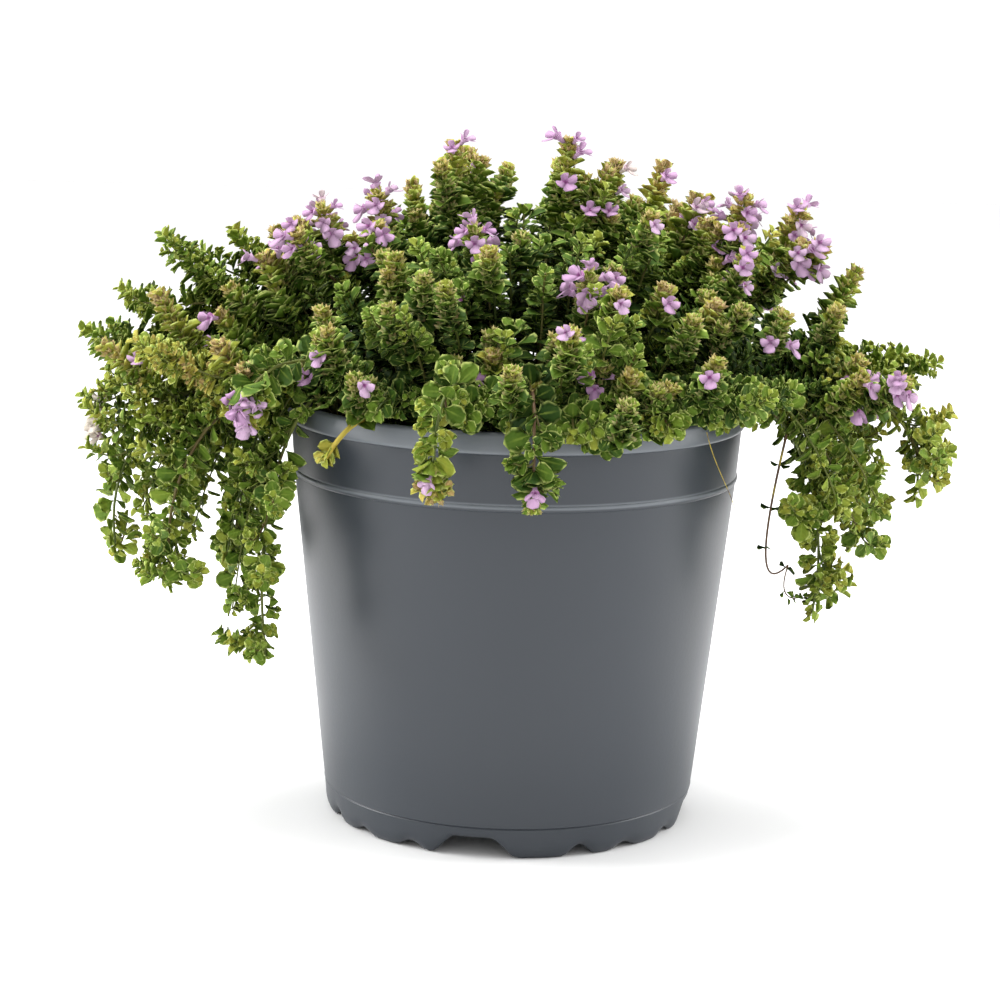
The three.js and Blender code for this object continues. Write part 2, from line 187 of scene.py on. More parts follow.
# Stem tint: green at 0, brown at 0.9 and yellow at 1
stemLook = dict(
    colours=[
        (0.0, (0.05, 0.08, 0.014)),
        (0.45, (0.13, 0.15, 0.03)),
        (0.8, (0.11, 0.06, 0.028)),
        (0.92, (0.09, 0.05, 0.03)),
        (1.0, (0.42, 0.33, 0.05)),
    ],
    streak=260, tintSpread=0.5,
)


def paintStem(tree):
    streak = grain(tree, stemLook["streak"])
    tint = attribute(tree, "tint") + (streak - 0.5) * stemLook["tintSpread"]
    return {
        "Base Color": ramp(tree, stemLook["colours"], tint),
        "Roughness": 0.5 + streak * 0.2,
        "Normal": bump(tree, streak, 0.3, 0.0002),
    }


calyxLook = dict(teeth=((0.34, 0.22, 0.10), (0.46, 0.38, 0.16)), mottle=500, tintSpread=0.2, ridges=60)


def paintCalyx(tree):
    look = calyxLook
    along = attribute(tree, "along")
    mottle = grain(tree, look["mottle"])
    tint = attribute(tree, "tint")
    base = ramp(tree, leafLook["colours"], tint + (mottle - 0.5) * look["tintSpread"])
    teeth = mixColours(tree, step(tree, mottle, 0.35, 0.65), *look["teeth"])
    return {
        "Base Color": mixColours(tree, step(tree, along, 0.45, 0.9) * 0.7, base, teeth),
        "Roughness": 0.5 + mottle * 0.2,
        "Normal": bump(tree, waves(tree, attribute(tree, "across") * look["ridges"]), 0.4, 0.0001),
    }


# Petal tint: mauve at 0, paler above it, and faded at 1
petalLook = dict(
    colours=[
        (0.0, (0.34, 0.20, 0.33)),
        (0.4, (0.38, 0.24, 0.365)),
        (0.8, (0.40, 0.28, 0.385)),
        (1.0, (0.47, 0.42, 0.36)),
    ],
    throat=(0.26, 0.05, 0.22), edge=(0.56, 0.44, 0.55), mottle=700, tintSpread=0.2, veins=22,
)


def paintPetal(tree):
    look = petalLook
    along = attribute(tree, "along")
    across = attribute(tree, "across")
    mottle = grain(tree, look["mottle"])
    colour = ramp(tree, look["colours"], attribute(tree, "tint") + (mottle - 0.5) * look["tintSpread"])
    spots = step(tree, along, 0.34, 0.12) * step(tree, mottle, 0.40, 0.60)
    colour = mixColours(tree, spots * 0.8, colour, look["throat"])
    colour = mixColours(tree, step(tree, across, 0.75, 1.0) * 0.25, colour, look["edge"])
    return {
        "Base Color": colour,
        "Roughness": 0.5 + mottle * 0.15,
        "Emission Color": colour,  # a painted glow that stands for the light that passes through
        "Normal": bump(tree, waves(tree, across * look["veins"]), 0.3, 0.0001),
    }


# The pale grey on the bead and on the lip's edges is a painted highlight
potLook = dict(
    grey=(0.0235, 0.029, 0.037), worn=(0.030, 0.036, 0.045), rubbed=(0.19, 0.21, 0.23), paintedHighlightShare=0.55,
    cloud=9, fine=900,
)


def paintPot(tree):
    cloud = grain(tree, potLook["cloud"], 4)
    fine = grain(tree, potLook["fine"], 2)
    colour = mixColours(tree, step(tree, cloud, 0.35, 0.75) * 0.5, potLook["grey"], potLook["worn"])
    # Painted highlight: the bead and lip edges are mixed towards pale grey
    rubbed = attribute(tree, "rubbed") * potLook["paintedHighlightShare"]
    return {
        "Base Color": mixColours(tree, rubbed, colour, potLook["rubbed"]),
        "Roughness": 0.33 + cloud * 0.12 + fine * 0.04,
        "Normal": bump(tree, fine, 0.12, 0.00015),
    }


compostLook = dict(dark=(0.012, 0.008, 0.005), brown=(0.07, 0.042, 0.024), fibre=(0.20, 0.13, 0.07))


def paintCompost(tree):
    coarse = grain(tree, 160, 6, 0.65)
    fine = grain(tree, 900, 4, 0.6)
    colour = mixColours(tree, step(tree, coarse, 0.35, 0.7), compostLook["dark"], compostLook["brown"])
    return {
        "Base Color": mixColours(tree, step(tree, fine, 0.62, 0.75) * 0.6, colour, compostLook["fibre"]),
        "Roughness": 0.9 - fine * 0.1,
        "Normal": bump(tree, coarse * 0.7 + fine * 0.5, 0.8, 0.001),
    }


def paintFloor(tree):
    soft = grain(tree, 3, 2)
    colour = mixColours(tree, soft * 0.1, (0.86, 0.86, 0.86), (0.80, 0.80, 0.80))
    return {"Base Color": colour, "Roughness": 0.6 + soft * 0.05}


leafMaterial = newMaterial("thymeLeaf", paintLeaf, {"Specular IOR Level": 0.12})
stemMaterial = newMaterial("thymeStem", paintStem, {"Specular IOR Level": 0.3})
calyxMaterial = newMaterial("thymeCalyx", paintCalyx, {"Specular IOR Level": 0.3})
# The petals glow faintly: painted light standing in for the light that passes through them
petalMaterial = newMaterial("thymePetal", paintPetal, {"Specular IOR Level": 0.1, "Emission Strength": 0.32})
potMaterial = newMaterial("potPlastic", paintPot, {"Specular IOR Level": 0.45})
compostMaterial = newMaterial("compost", paintCompost, {"Specular IOR Level": 0.15})
floorMaterial = newMaterial("paleFloor", paintFloor, {"Specular IOR Level": 0.2})
print("materials ready")


# What every piece needs

pieces = []


def newObject(name, mesh):
    thing = bpy.data.objects.new(name, mesh)
    bpy.context.scene.collection.objects.link(thing)
    return thing


def keepResult(thing):  # puts what the modifiers make in the place of the mesh
    graph = bpy.context.evaluated_depsgraph_get()
    source = thing.evaluated_get(graph)
    mesh = bpy.data.meshes.new_from_object(source, preserve_all_data_layers=True, depsgraph=graph)
    thing.modifiers.clear()
    thing.data = mesh


def newMesh(name, verts, faces, edges=()):
    mesh = bpy.data.meshes.new(name)
    mesh.from_pydata(verts, edges, faces)
    return mesh


def giveAttribute(mesh, label, kind, values):
    mesh.attributes.new(label, kind, "POINT").data.foreach_set("value", values)


def handOver(piece, slot, *nodes):
    if nodes:
        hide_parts(*nodes)
    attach(piece, "root")
    pieces.append(piece)


def onceEach(face):  # a face that meets a pole names it once
    return [v for i, v in enumerate(face) if v not in face[:i]]


# A turned shape from a profile of radii and heights: place gives the point at a radius, height and angle
def turnedShape(profile, segments, place):
    verts, rows, faces = [], [], []
    for r, z in profile:
        row = []
        for k in range(segments if r else 1):
            verts.append(place(r, z, 360 * k / segments))
            row.append(len(verts) - 1)
        rows.append(row if r else row * segments)
    for a, b in zip(rows, rows[1:]):
        for k in range(segments):
            n = (k + 1) % segments
            faces.append(onceEach([a[k], a[n], b[n], b[k]]))
    return verts, faces


def outAt(angle):  # the way out from the axis, by the angle round it from the front
    return Vector((math.sin(angle), -math.cos(angle), 0))


# The parts that repeat: a blade, a calyx and a flower, each one unit long

def unitObject(name, verts, faces, across, along):
    mesh = newMesh(name, verts, faces)
    giveAttribute(mesh, "across", "FLOAT", across)
    giveAttribute(mesh, "along", "FLOAT", along)
    mesh.shade_smooth()
    return newObject(name, mesh)


# A closed blade along +X with its face up, in columns across its upper side and one keel below
def bladeShape(form):
    verts, faces, across, along = [], [], [], []
    columns = form.get("columns", (-1, -0.55, 0, 0.55, 1))

    def add(t, half, u, lower=False):
        bend = form["curl"] * t * t
        lift = form["cup"] * u * u * half + form["keel"] * abs(u) * half
        sink = form["thick"] if lower else 0
        verts.append((t, u * half, lift - bend - sink))
        across.append(abs(u))
        along.append(t)
        return len(verts) - 1

    rows = []
    for t, half in zip(form["stations"], form["halves"]):
        if half == 0:
            rows.append(([add(t, 0, 0)] * len(columns), None))
            continue
        top = [add(t, half, u) for u in columns]
        rows.append((top, [top[0], add(t, half, 0, True), top[-1]]))
    for near, far in zip(rows, rows[1:]):
        for side in (0, 1):
            a, b = near[side] or near[0][:3], far[side] or far[0][:3]
            for k in range(len(a) - 1):
                face = onceEach([a[k], b[k], b[k + 1], a[k + 1]])
                faces.append(face if side else face[::-1])
    return verts, faces, across, along


folded = dict(cup=0, columns=(-1, 0, 1))  # plainer blades, folded at the rib
bladeForms = dict(
    leaf=dict(
        stations=(0, 0.14, 0.36, 0.66, 0.90, 1), halves=(0, 0.07, 0.37, 0.44, 0.27, 0),
        curl=0.10, cup=0.26, keel=0.10, thick=0.05,
    ),
    small=dict(
        stations=(0, 0.16, 0.46, 0.82, 1), halves=(0, 0.08, 0.42, 0.35, 0),
        curl=0.22, cup=0.5, keel=0.1, thick=0.05, columns=(-1, -0.45, 0.45, 1),
    ),
    bract=dict(
        stations=(0, 0.20, 0.52, 0.84, 1), halves=(0, 0.28, 0.47, 0.36, 0),
        curl=0.30, cup=0.60, keel=0.05, thick=0.05,
    ),
    plainLeaf=dict(
        folded, stations=(0, 0.40, 0.78, 1), halves=(0, 0.40, 0.36, 0), curl=0.16, keel=0.30, thick=0.04,
    ),
    plainBract=dict(
        folded, stations=(0, 0.40, 0.80, 1), halves=(0, 0.50, 0.40, 0), curl=0, keel=0.55, thick=0.05,
    ),
    deepLeaf=dict(folded, stations=(0, 0.55, 1), halves=(0, 0.42, 0), curl=0.16, keel=0.30, thick=0.04),
)
petalForm = dict(
    stations=(0, 0.30, 0.62, 0.88, 1), halves=(0, 0.24, 0.37, 0.34, 0),
    curl=0.14, cup=-0.10, keel=0.04, thick=0.05, columns=(-1, 0, 1),
)


# A calyx along +X: a flask with four teeth round its mouth, hollow to a point inside
def calyxShape(form):
    verts, faces = [(0, 0, 0)], []
    for x, radius in form["rings"]:
        for k in range(4):
            turn = math.pi * k / 2
            verts.append((x, radius * math.cos(turn), radius * math.sin(turn)))
    for k in range(4):
        turn = math.pi * (k + 0.5) / 2
        verts.append((1, form["mouth"] * math.cos(turn), form["mouth"] * math.sin(turn)))
    verts.append((form["depth"], 0, 0))
    for k in range(4):
        n = (k + 1) % 4
        faces += [(0, 1 + n, 1 + k), (1 + k, 1 + n, 5 + n, 5 + k), (5 + k, 5 + n, 9 + k)]
        faces += [(5 + k, 9 + k, 13), (9 + k, 5 + n, 13)]
    return verts, faces, [math.atan2(v[2], v[1]) / math.pi for v in verts], [v[0] for v in verts]


calyxForm = dict(rings=((0.22, 0.20), (0.66, 0.29)), mouth=0.40, depth=0.40)


def joinShapes(shapes):
    verts, faces, across, along = [], [], [], []
    for shape in shapes:
        faces += [[k + len(verts) for k in face] for face in shape[1]]
        verts += shape[0]
        across += shape[2]
        along += shape[3]
    return verts, faces, across, along


# A flower faces +X: a narrow tube, a hooded upper lip, three spreading lower lobes and thin stamens
def floretShape(form):
    shapes = []
    for angle, spread, size in form["lobes"]:
        verts, faces, across, along = bladeShape(petalForm)
        turn = Matrix.Rotation(math.radians(angle), 3, "X") @ Matrix.Rotation(math.radians(-spread), 3, "Y")
        throat = Vector((form["tube"] - 0.04, 0, 0))
        placed = [tuple(throat + turn @ (Vector(v) * size)) for v in verts]
        shapes.append((placed, faces, across, along))
    for angle, length in form["stamens"]:
        turn = math.radians(angle)
        lean = Vector((0, math.cos(turn), math.sin(turn))) * 0.1
        end = Vector((form["tube"] + length, 0, 0)) + lean * 2.2
        foot = []
        for k in range(3):
            aside = Matrix.Rotation(k * 2.1, 2) @ Vector((0.02, 0))
            foot.append(Vector((form["tube"] - 0.2, *aside)) + lean * 0.4)
        verts = [tuple(v) for v in foot] + [tuple(end)]
        shapes.append((verts, [(0, 2, 1), (0, 1, 3), (1, 2, 3), (2, 0, 3)], [1] * 4, [0.8] * 4))
    ring = [(math.cos(k * math.pi / 3), math.sin(k * math.pi / 3)) for k in range(6)]
    rows = [(0, 0.07), (form["tube"] * 0.6, 0.10), (form["tube"], 0.19)]
    verts = [(x, r * c, r * s) for x, r in rows for c, s in ring] + [(form["tube"] - 0.12, 0, 0), (0, 0, 0)]
    faces = []
    for k in range(6):
        n = (k + 1) % 6
        faces += [(k, n, 6 + n, 6 + k), (6 + k, 6 + n, 12 + n, 12 + k), (12 + k, 12 + n, 18), (n, k, 19)]
    shapes.append((verts, faces, [0.5] * 20, [0.5] * 12 + [0.2] * 6 + [0, 0.5]))
    return joinShapes(shapes)


floretForm = dict(
    tube=0.36,
    lobes=((0, 32, 0.40), (108, 64, 0.46), (-108, 64, 0.46), (180, 66, 0.62)),  # place round, spread, size
    stamens=((20, 0.30), (-60, 0.26), (130, 0.22)),  # place round, length
)

unitKinds = [
    (name, unitObject(name + "Unit", *bladeShape(form)), leafMaterial) for name, form in bladeForms.items()
]
unitKinds.append(("calyx", unitObject("calyxUnit", *calyxShape(calyxForm)), calyxMaterial))
unitKinds.append(("floret", unitObject("floretUnit", *floretShape(floretForm)), petalMaterial))
kindNumber = {name: k for k, (name, thing, material) in enumerate(unitKinds)}


# Geometry Nodes: trees with named inputs

def newTree(name, inputs):
    tree = bpy.data.node_groups.new(name, "GeometryNodeTree")
    for label, kind in (("Geometry", "Geometry"), *inputs):
        tree.interface.new_socket(name=label, in_out="INPUT", socket_type="NodeSocket" + kind)
    tree.interface.new_socket(name="Geometry", in_out="OUTPUT", socket_type="NodeSocketGeometry")
    entry = tree.nodes.new("NodeGroupInput")
    return tree, {socket.name: Wire(tree, socket) for socket in entry.outputs if socket.name}


def joinWires(tree, wires):
    joined = tree.nodes.new("GeometryNodeJoinGeometry")
    for wire in wires:
        tree.links.new(wire.socket, joined.inputs[0])
    return Wire(tree, joined.outputs[0])


def endTree(tree, wire):
    leave = tree.nodes.new("NodeGroupOutput")
    tree.links.new(wire.socket, leave.inputs[0])
    return tree


def setMaterial(tree, wire, material):
    return addNode(tree, "GeometryNodeSetMaterial", {}, {"Geometry": wire, "Material": material})


def placeUnits(tree, unit, values):  # real copies of a unit on points
    shape = addNode(tree, "GeometryNodeObjectInfo", {}, {"Object": unit, "As Instance": True}, 4)
    placed = addNode(tree, "GeometryNodeInstanceOnPoints", {}, {**values, "Instance": shape})
    return addNode(tree, "GeometryNodeRealizeInstances", {}, {"Geometry": placed})


def applyNodes(thing, tree, inputs):
    modifier = thing.modifiers.new("grow", "NODES")
    modifier.node_group = tree
    for item in tree.interface.items_tree:
        if item.in_out == "INPUT" and item.name in inputs:
            modifier[item.identifier] = inputs[item.name]
    keepResult(thing)


# Sets a unit on each point of its kind, and skins the stem lines
def foliageTree():
    tree, given = newTree("thymeFoliage", (
        ("Size", "Float"), ("Size spread", "Float"), ("Stem sides", "Int"), ("Seed", "Int"),
    ))

    def named(name, kind):
        return addNode(tree, "GeometryNodeInputNamedAttribute", {"data_type": kind}, {"Name": name})

    grown = []
    for name, thing, material in unitKinds:
        chosen = addNode(
            tree, "FunctionNodeCompare", {"data_type": "INT", "operation": "EQUAL"},
            {2: named("kind", "INT"), 3: kindNumber[name]},
        )
        spread = addNode(
            tree, "FunctionNodeRandomValue", {"data_type": "FLOAT"},
            {2: 1 - given["Size spread"], 3: 1 + given["Size spread"], 8: given["Seed"]}, 1,
        )
        real = placeUnits(tree, thing, {
            "Points": given["Geometry"], "Selection": chosen,
            "Rotation": named("aim", "QUATERNION"), "Scale": named("grow", "FLOAT") * given["Size"] * spread,
        })
        grown.append(setMaterial(tree, real, material))
    lines = addNode(tree, "GeometryNodeMeshToCurve", {}, {"Mesh": given["Geometry"]})
    values = {"Resolution": given["Stem sides"], "Radius": 1}
    ring = addNode(tree, "GeometryNodeCurvePrimitiveCircle", {}, values)
    values = {"Curve": lines, "Profile Curve": ring, "Scale": named("grow", "FLOAT"), "Fill Caps": True}
    skin = addNode(tree, "GeometryNodeCurveToMesh", {}, values)
    grown.append(setMaterial(tree, skin, stemMaterial))
    return endTree(tree, joinWires(tree, grown))


foliage = foliageTree()
foliageInputs = {"Size": 1.0, "Size spread": 0.12, "Stem sides": 5}


# A sprig gathers the points and stem lines of one piece

# The plant's surface over the pot, by distance from the axis. It falls away at 45 degrees in front of a
# line. Leaves get plainer below it, and what is hidden is left out. Their tint is lowered for painted shade
# the deeper they lie and raised for painted light above the surface, and inside the dome it gets painted
# light high up and painted shade low down.
dome = dict(
    top=196, curve=0.0035, slope=0.06, frontLine=-30,
    edge=94, rimRadius=70, rimHeight=134,  # a place past the edge, or past the rim and lower, is outside
    calyxDepth=13, plainDepth=13, deepDepth=23, deepest=44,
    shade=0.006, shadeFrom=-10, shadeTo=30, sun=0.005, sunHeight=169,
)
plainKinds = dict(leaf="plainLeaf", small="plainLeaf", bract="plainBract")  # these have fewer faces


def domeHeight(radius):
    return dome["top"] - dome["curve"] * radius * radius - dome["slope"] * radius


def frontDrop(y):
    return max(0, dome["frontLine"] - y)


def depthBelow(at):
    radius = math.hypot(at.x, at.y)
    if radius > dome["edge"] or (radius > dome["rimRadius"] and at.z < dome["rimHeight"]):
        return 0
    return domeHeight(radius) - frontDrop(at.y) - at.z


class Sprig:
    def __init__(self, plain=False, deepest=dome["deepest"]):
        self.plain = plain
        self.deepest = deepest
        self.points = []
        self.lines = []

    def put(self, kind, at, along, face, size, tint):
        x = along.normalized()
        y = face.cross(x)
        if y.length < 1e-6:
            y = Vector((0, 1, 0)).cross(x)
        y.normalize()
        z = x.cross(y)
        turn = Matrix((x, y, z)).transposed().to_quaternion()
        tip = at + x * size
        if hitsPot(at) or hitsPot(tip) or hitsPot((at + tip) / 2):
            return
        depth = depthBelow(at)
        if depth > self.deepest or (kind == "calyx" and depth > dome["calyxDepth"]):
            return
        if depth > dome["deepDepth"]:
            kind = "deepLeaf"
        elif self.plain or depth > dome["plainDepth"]:
            kind = plainKinds.get(kind, kind)
        # Painted shade and light: a darker tint the deeper a leaf lies, a lighter one above the surface, and
        # inside the dome lighter high up and darker low down
        tint -= dome["shade"] * min(dome["shadeTo"], max(dome["shadeFrom"], depth))
        if depth:
            tint += dome["sun"] * (at.z - dome["sunHeight"])
        self.points.append((kindNumber[kind], at, turn, size, tint))

    def draw(self, line, thick, thin, rng=None, tint=0):  # with rng, the tint is random
        self.lines.append((line, thick, thin, rng.random() * 0.8 if rng else tint))

    def mesh(self, name):
        verts, edges, kinds, turns, sizes, tints = [], [], [], [], [], []
        for kind, at, turn, size, tint in self.points:
            verts.append(at * mm)
            kinds.append(kind)
            turns += [*turn]
            sizes.append(size * mm)
            tints.append(tint)
        for line, thick, thin, tint in self.lines:
            for k, at in enumerate(line):
                if k:
                    edges.append((len(verts) - 1, len(verts)))
                verts.append(at * mm)
                kinds.append(-1)
                turns += [1, 0, 0, 0]
                sizes.append((thick + (thin - thick) * k / (len(line) - 1)) * mm)
                tints.append(tint)
        mesh = newMesh(name, verts, [], edges)
        giveAttribute(mesh, "kind", "INT", kinds)
        giveAttribute(mesh, "aim", "QUATERNION", turns)
        giveAttribute(mesh, "grow", "FLOAT", sizes)
        giveAttribute(mesh, "tint", "FLOAT", tints)
        return mesh

    def grow(self, name, seed, slot, *nodes):
        thing = newObject(name, self.mesh(name))
        applyNodes(thing, foliage, {**foliageInputs, "Seed": seed})
        for label in ("kind", "aim", "grow"):
            if label in thing.data.attributes:
                thing.data.attributes.remove(thing.data.attributes[label])
        handOver(thing, slot, *nodes)


# The pot

pot = dict(
    height=129, rimRadius=70, lipHeight=6.2, lipRound=1.55, bandRadius=69.2,
    ridgeHeight=107.2, ridgeRadius=68.2, ridgeOut=0.7, taperInset=0.9,
    seamHeight=9.5, seamRadius=57.4, footRadius=56.9, footWall=2.3, footRound=5,
    wall=1.3, baseTop=8, baseUnderside=6, baseMiddle=30, segments=270, sharpFrom=38,
    drains=8, firstDrain=32.5, drainRadius=3.5, drainRing=38, drainDepth=8,
)
keepOut = dict(radius=71, top=129.6, mouthRadius=65, mouthFloor=119)  # leaves stay out of the wall and lip


def hitsPot(at):
    radius = math.hypot(at.x, at.y)
    inMouth = radius < keepOut["mouthRadius"] and at.z > keepOut["mouthFloor"]
    return radius < keepOut["radius"] and at.z < keepOut["top"] and not inMouth


def innerRadius(z):
    share = (z - pot["seamHeight"]) / (pot["ridgeHeight"] - pot["seamHeight"])
    widening = pot["ridgeRadius"] - pot["taperInset"] - pot["seamRadius"]
    return pot["seamRadius"] - pot["wall"] + share * widening


# How far the lower edge lifts off the floor, at its high and low places over a quarter turn:
# an open arch, a wide foot, a deep notch, a narrow foot and two shallow notches
footEdge = (
    (-24, 0), (-15.5, 5.9), (-5, 5.9), (4, 0), (17, 0), (23.3, 3.4), (29, 0),
    (33, 0), (39.5, 1.9), (46, 0), (53, 0), (59.5, 2.2), (66, 0),
)


def footLift(angle):
    turn = (angle - footEdge[0][0]) % 90 + footEdge[0][0]
    for (start, low), (end, high) in zip(footEdge, footEdge[1:]):
        if turn <= end:
            share = (turn - start) / (end - start)
            return low + (high - low) * share * share * (3 - 2 * share)
    return 0


# Points on an arc round a middle: how wide and tall, from and to in half turns, and how many
def arc(r, z, wide, tall, start, end, count):
    turns = [math.pi * (start + (end - start) * k / (count - 1)) for k in range(count)]
    return [(r + wide * math.cos(a), z + tall * math.sin(a)) for a in turns]


def potProfile():
    top, ridge, seam = pot["height"], pot["ridgeHeight"], pot["seamHeight"]
    rim, seamRadius, foot = pot["rimRadius"], pot["seamRadius"], pot["footRadius"]
    lipFoot = top - pot["lipHeight"]
    under = pot["baseUnderside"]
    inFoot = foot - pot["footWall"]
    outer = [(0, under), (pot["baseMiddle"], under), (inFoot, under), (inFoot, 0)]
    outer += arc(inFoot + 0.1, pot["footRound"], pot["footWall"], pot["footRound"], -0.5, 0, 8)
    outer += [  # the moulding line
        (seamRadius - 0.02, seam - 0.45), (seamRadius - 0.28, seam - 0.1),
        (seamRadius + 0.14, seam + 0.2), (seamRadius + 0.10, seam + 0.8),
    ]
    body = pot["ridgeRadius"] - pot["ridgeOut"]
    for k in range(1, 9):
        share = k / 8
        radius = seamRadius + (body - seamRadius) * share + 0.1
        outer.append((radius, seam + (ridge - 1.9 - seam) * share))
    bead = arc(body + 0.1, ridge, 0.6, 1, -0.5, 0.36, 9)  # taller below its middle than above
    outer += [(r, ridge + (z - ridge) * (1.3 if k < 4 else 0.7)) for k, (r, z) in enumerate(bead)]
    for k in range(5):
        share = k / 4
        radius = pot["ridgeRadius"] + (pot["bandRadius"] - pot["ridgeRadius"]) * share - 0.3
        outer.append((radius, ridge + 1.3 + (lipFoot - ridge - 2.3) * share))
    outer += arc(rim - 1.1, lipFoot + 1.1, 1.1, 1.5, -0.5, 0, 7)  # lower edge of the rolled lip
    lip = pot["lipRound"]
    outer += arc(rim - lip, top - lip, lip, lip, 0.1, 0.9, 9)
    outer += [(innerRadius(top - 6) + 0.2, top - 2.2), (innerRadius(top - 12), top - 9)]
    outer.append((innerRadius(60), 60))
    floor = pot["baseTop"]
    inside = innerRadius(floor)
    return outer + [(inside + 0.3, floor + 0.6), (inside - 0.6, floor), (0, floor)]


def hasPaintedHighlight(r, z):  # the bead and both edges of the lip get a pale painted highlight
    onBead = -0.5 < z - pot["ridgeHeight"] < 0.75 and r > 67
    onLip = z > pot["height"] - 1.3 and r > 66
    lipEdge = 0 < z - pot["height"] + pot["lipHeight"] < 1.3 and r > 69
    return onBead or onLip or lipEdge


def makePot():
    def place(r, z, angle):
        lift = footLift(angle) * (1 - z / 9) if z < 5.5 and r > 50 else 0
        a = math.radians(angle)
        return r * math.sin(a) * mm, -r * math.cos(a) * mm, (z + lift) * mm

    verts, faces = turnedShape(potProfile(), pot["segments"], place)
    mesh = newMesh("nurseryPot", verts, faces)
    # Marks the bead and lip edges for the painted highlight
    rubbed = [hasPaintedHighlight(math.hypot(x, y) / mm, z / mm) for x, y, z in verts]
    giveAttribute(mesh, "rubbed", "FLOAT", rubbed)
    thing = newObject("nurseryPot", mesh)
    cutDrains(thing)
    outward(thing.data)
    thing.data.shade_smooth()
    thing.data.set_sharp_from_angle(angle=math.radians(pot["sharpFrom"]))
    thing.data.materials.clear()
    thing.data.materials.append(potMaterial)
    return thing


def cutDrains(thing):
    radius = pot["drainRadius"] * mm
    depth = pot["drainDepth"] * mm
    middle = (pot["baseTop"] + pot["baseUnderside"]) / 2
    cutter = bmesh.new()
    for k in range(pot["drains"]):
        a = math.radians(pot["firstDrain"] + 360 * k / pot["drains"])
        place = Matrix.Translation((outAt(a) * pot["drainRing"] + up * middle) * mm)
        bmesh.ops.create_cone(
            cutter, cap_ends=True, segments=32, radius1=radius, radius2=radius, depth=depth, matrix=place,
        )
    mesh = bpy.data.meshes.new("drains")
    cutter.to_mesh(mesh)
    cutter.free()
    drains = newObject("drains", mesh)
    cut = thing.modifiers.new("drains", "BOOLEAN")
    cut.operation = "DIFFERENCE"
    cut.solver = "EXACT"
    cut.object = drains
    keepResult(thing)
    bpy.data.objects.remove(drains)


def outward(mesh):
    shell = bmesh.new()
    shell.from_mesh(mesh)
    bmesh.ops.recalc_face_normals(shell, faces=shell.faces)
    shell.to_mesh(mesh)
    shell.free()


handOver(makePot(), "pot", "pot")
print("pot made")


# The compost, with crumbs strewn over it

compost = dict(
    top=118.4, edgeDrop=1.6, edgeFade=4, wallGap=0.6, floorGap=0.45, rings=44, segments=120,
    lump=1.3, lumpScale=0.09, crumbs=900, crumbSize=1.4, crumbSizes=(0.3, 1.6), crumbRadius=0.065, seed=5,
)


def makeCompost():
    rim = compost["top"] - compost["edgeDrop"]
    floor = pot["baseTop"] + compost["floorGap"]
    edge = innerRadius(rim) - compost["wallGap"]
    rings = compost["rings"]
    profile = [(0, floor), (innerRadius(floor) - compost["wallGap"], floor), (edge, rim)]
    profile += [(edge * (1 - k / rings), None) for k in range(1, rings)] + [(0, None)]  # the lumpy top

    def place(r, z, angle):
        a = math.radians(angle)
        x, y = r * math.sin(a), -r * math.cos(a)
        if z is None:
            rough = noise.fractal(Vector((x, y, 0)) * compost["lumpScale"], 0.6, 2.1, 4)
            fade = min(1, (edge - r) / compost["edgeFade"])
            z = compost["top"] - compost["edgeDrop"] * (1 - fade) + compost["lump"] * rough * fade
        return x * mm, y * mm, z * mm

    verts, faces = turnedShape(profile, compost["segments"], place)
    thing = newObject("compostFill", newMesh("compostFill", verts, faces))
    crumb = makeCrumb()
    inputs = {"Count": compost["crumbs"], "Crumb size": compost["crumbSize"] * mm, "Seed": compost["seed"]}
    applyNodes(thing, crumbTree(crumb), inputs)
    bpy.data.objects.remove(crumb)
    outward(thing.data)
    thing.data.shade_smooth()
    return thing


def makeCrumb():
    shell = bmesh.new()
    bmesh.ops.create_icosphere(shell, subdivisions=1, radius=0.5)
    for v in shell.verts:
        v.co *= 0.75 + 0.45 * noise.noise(v.co * 3)
    mesh = bpy.data.meshes.new("crumbUnit")
    shell.to_mesh(mesh)
    shell.free()
    return newObject("crumbUnit", mesh)


# Strews crumbs over the faces that look up
def crumbTree(crumb):
    tree, given = newTree("compostCrumbs", (("Count", "Int"), ("Crumb size", "Float"), ("Seed", "Int")))

    def randomValue(kind, low, high, out):
        first = 0 if kind == "FLOAT_VECTOR" else 2
        values = {first: low, first + 1: high, 8: given["Seed"]}
        return addNode(tree, "FunctionNodeRandomValue", {"data_type": kind}, values, out)

    face = addNode(tree, "GeometryNodeInputNormal")
    upright = addNode(tree, "ShaderNodeSeparateXYZ", {}, {0: face}, 2)
    onTop = addNode(tree, "FunctionNodeCompare", {"operation": "GREATER_THAN"}, {0: upright, 1: 0.5})
    density = given["Count"] * (1 / (math.pi * compost["crumbRadius"] ** 2))  # per square metre
    values = {"Mesh": given["Geometry"], "Selection": onTop, "Density": density, "Seed": given["Seed"]}
    spots = addNode(tree, "GeometryNodeDistributePointsOnFaces", {}, values)
    turn = randomValue("FLOAT_VECTOR", (0, 0, 0), (6.2, 6.2, 6.2), 0)
    size = randomValue("FLOAT", *compost["crumbSizes"], 1)
    crumbs = placeUnits(tree, crumb, {"Points": spots, "Rotation": turn, "Scale": size * given["Crumb size"]})
    return endTree(tree, setMaterial(tree, joinWires(tree, (given["Geometry"], crumbs)), compostMaterial))


handOver(makeCompost(), "compost", "compost")
print("compost made")


# The plant. Habits, tips and bends repeat those of the solids, so that each piece keeps its node's form

plant = dict(
    root=112, clear=122, lean=0.0052, lowHeads=160, overRim=137, trailTop=154, trailBow=9, trailBend=112,
    rootShare=0.5, rootLimit=49, trailRoot=56, bloomHeight=4.6, thick=0.7, thin=0.4,
    leafSize=6.4, smallBelow=4.6, bractSize=6.0, calyxSize=3.3, floretSize=7.9,
    whorlGap=2.2, bracts=5, calyces=4, topCalyces=9,
    branchFloor=141, wallClear=79, wallTop=134,  # branches end above these, or clear of the wall
)

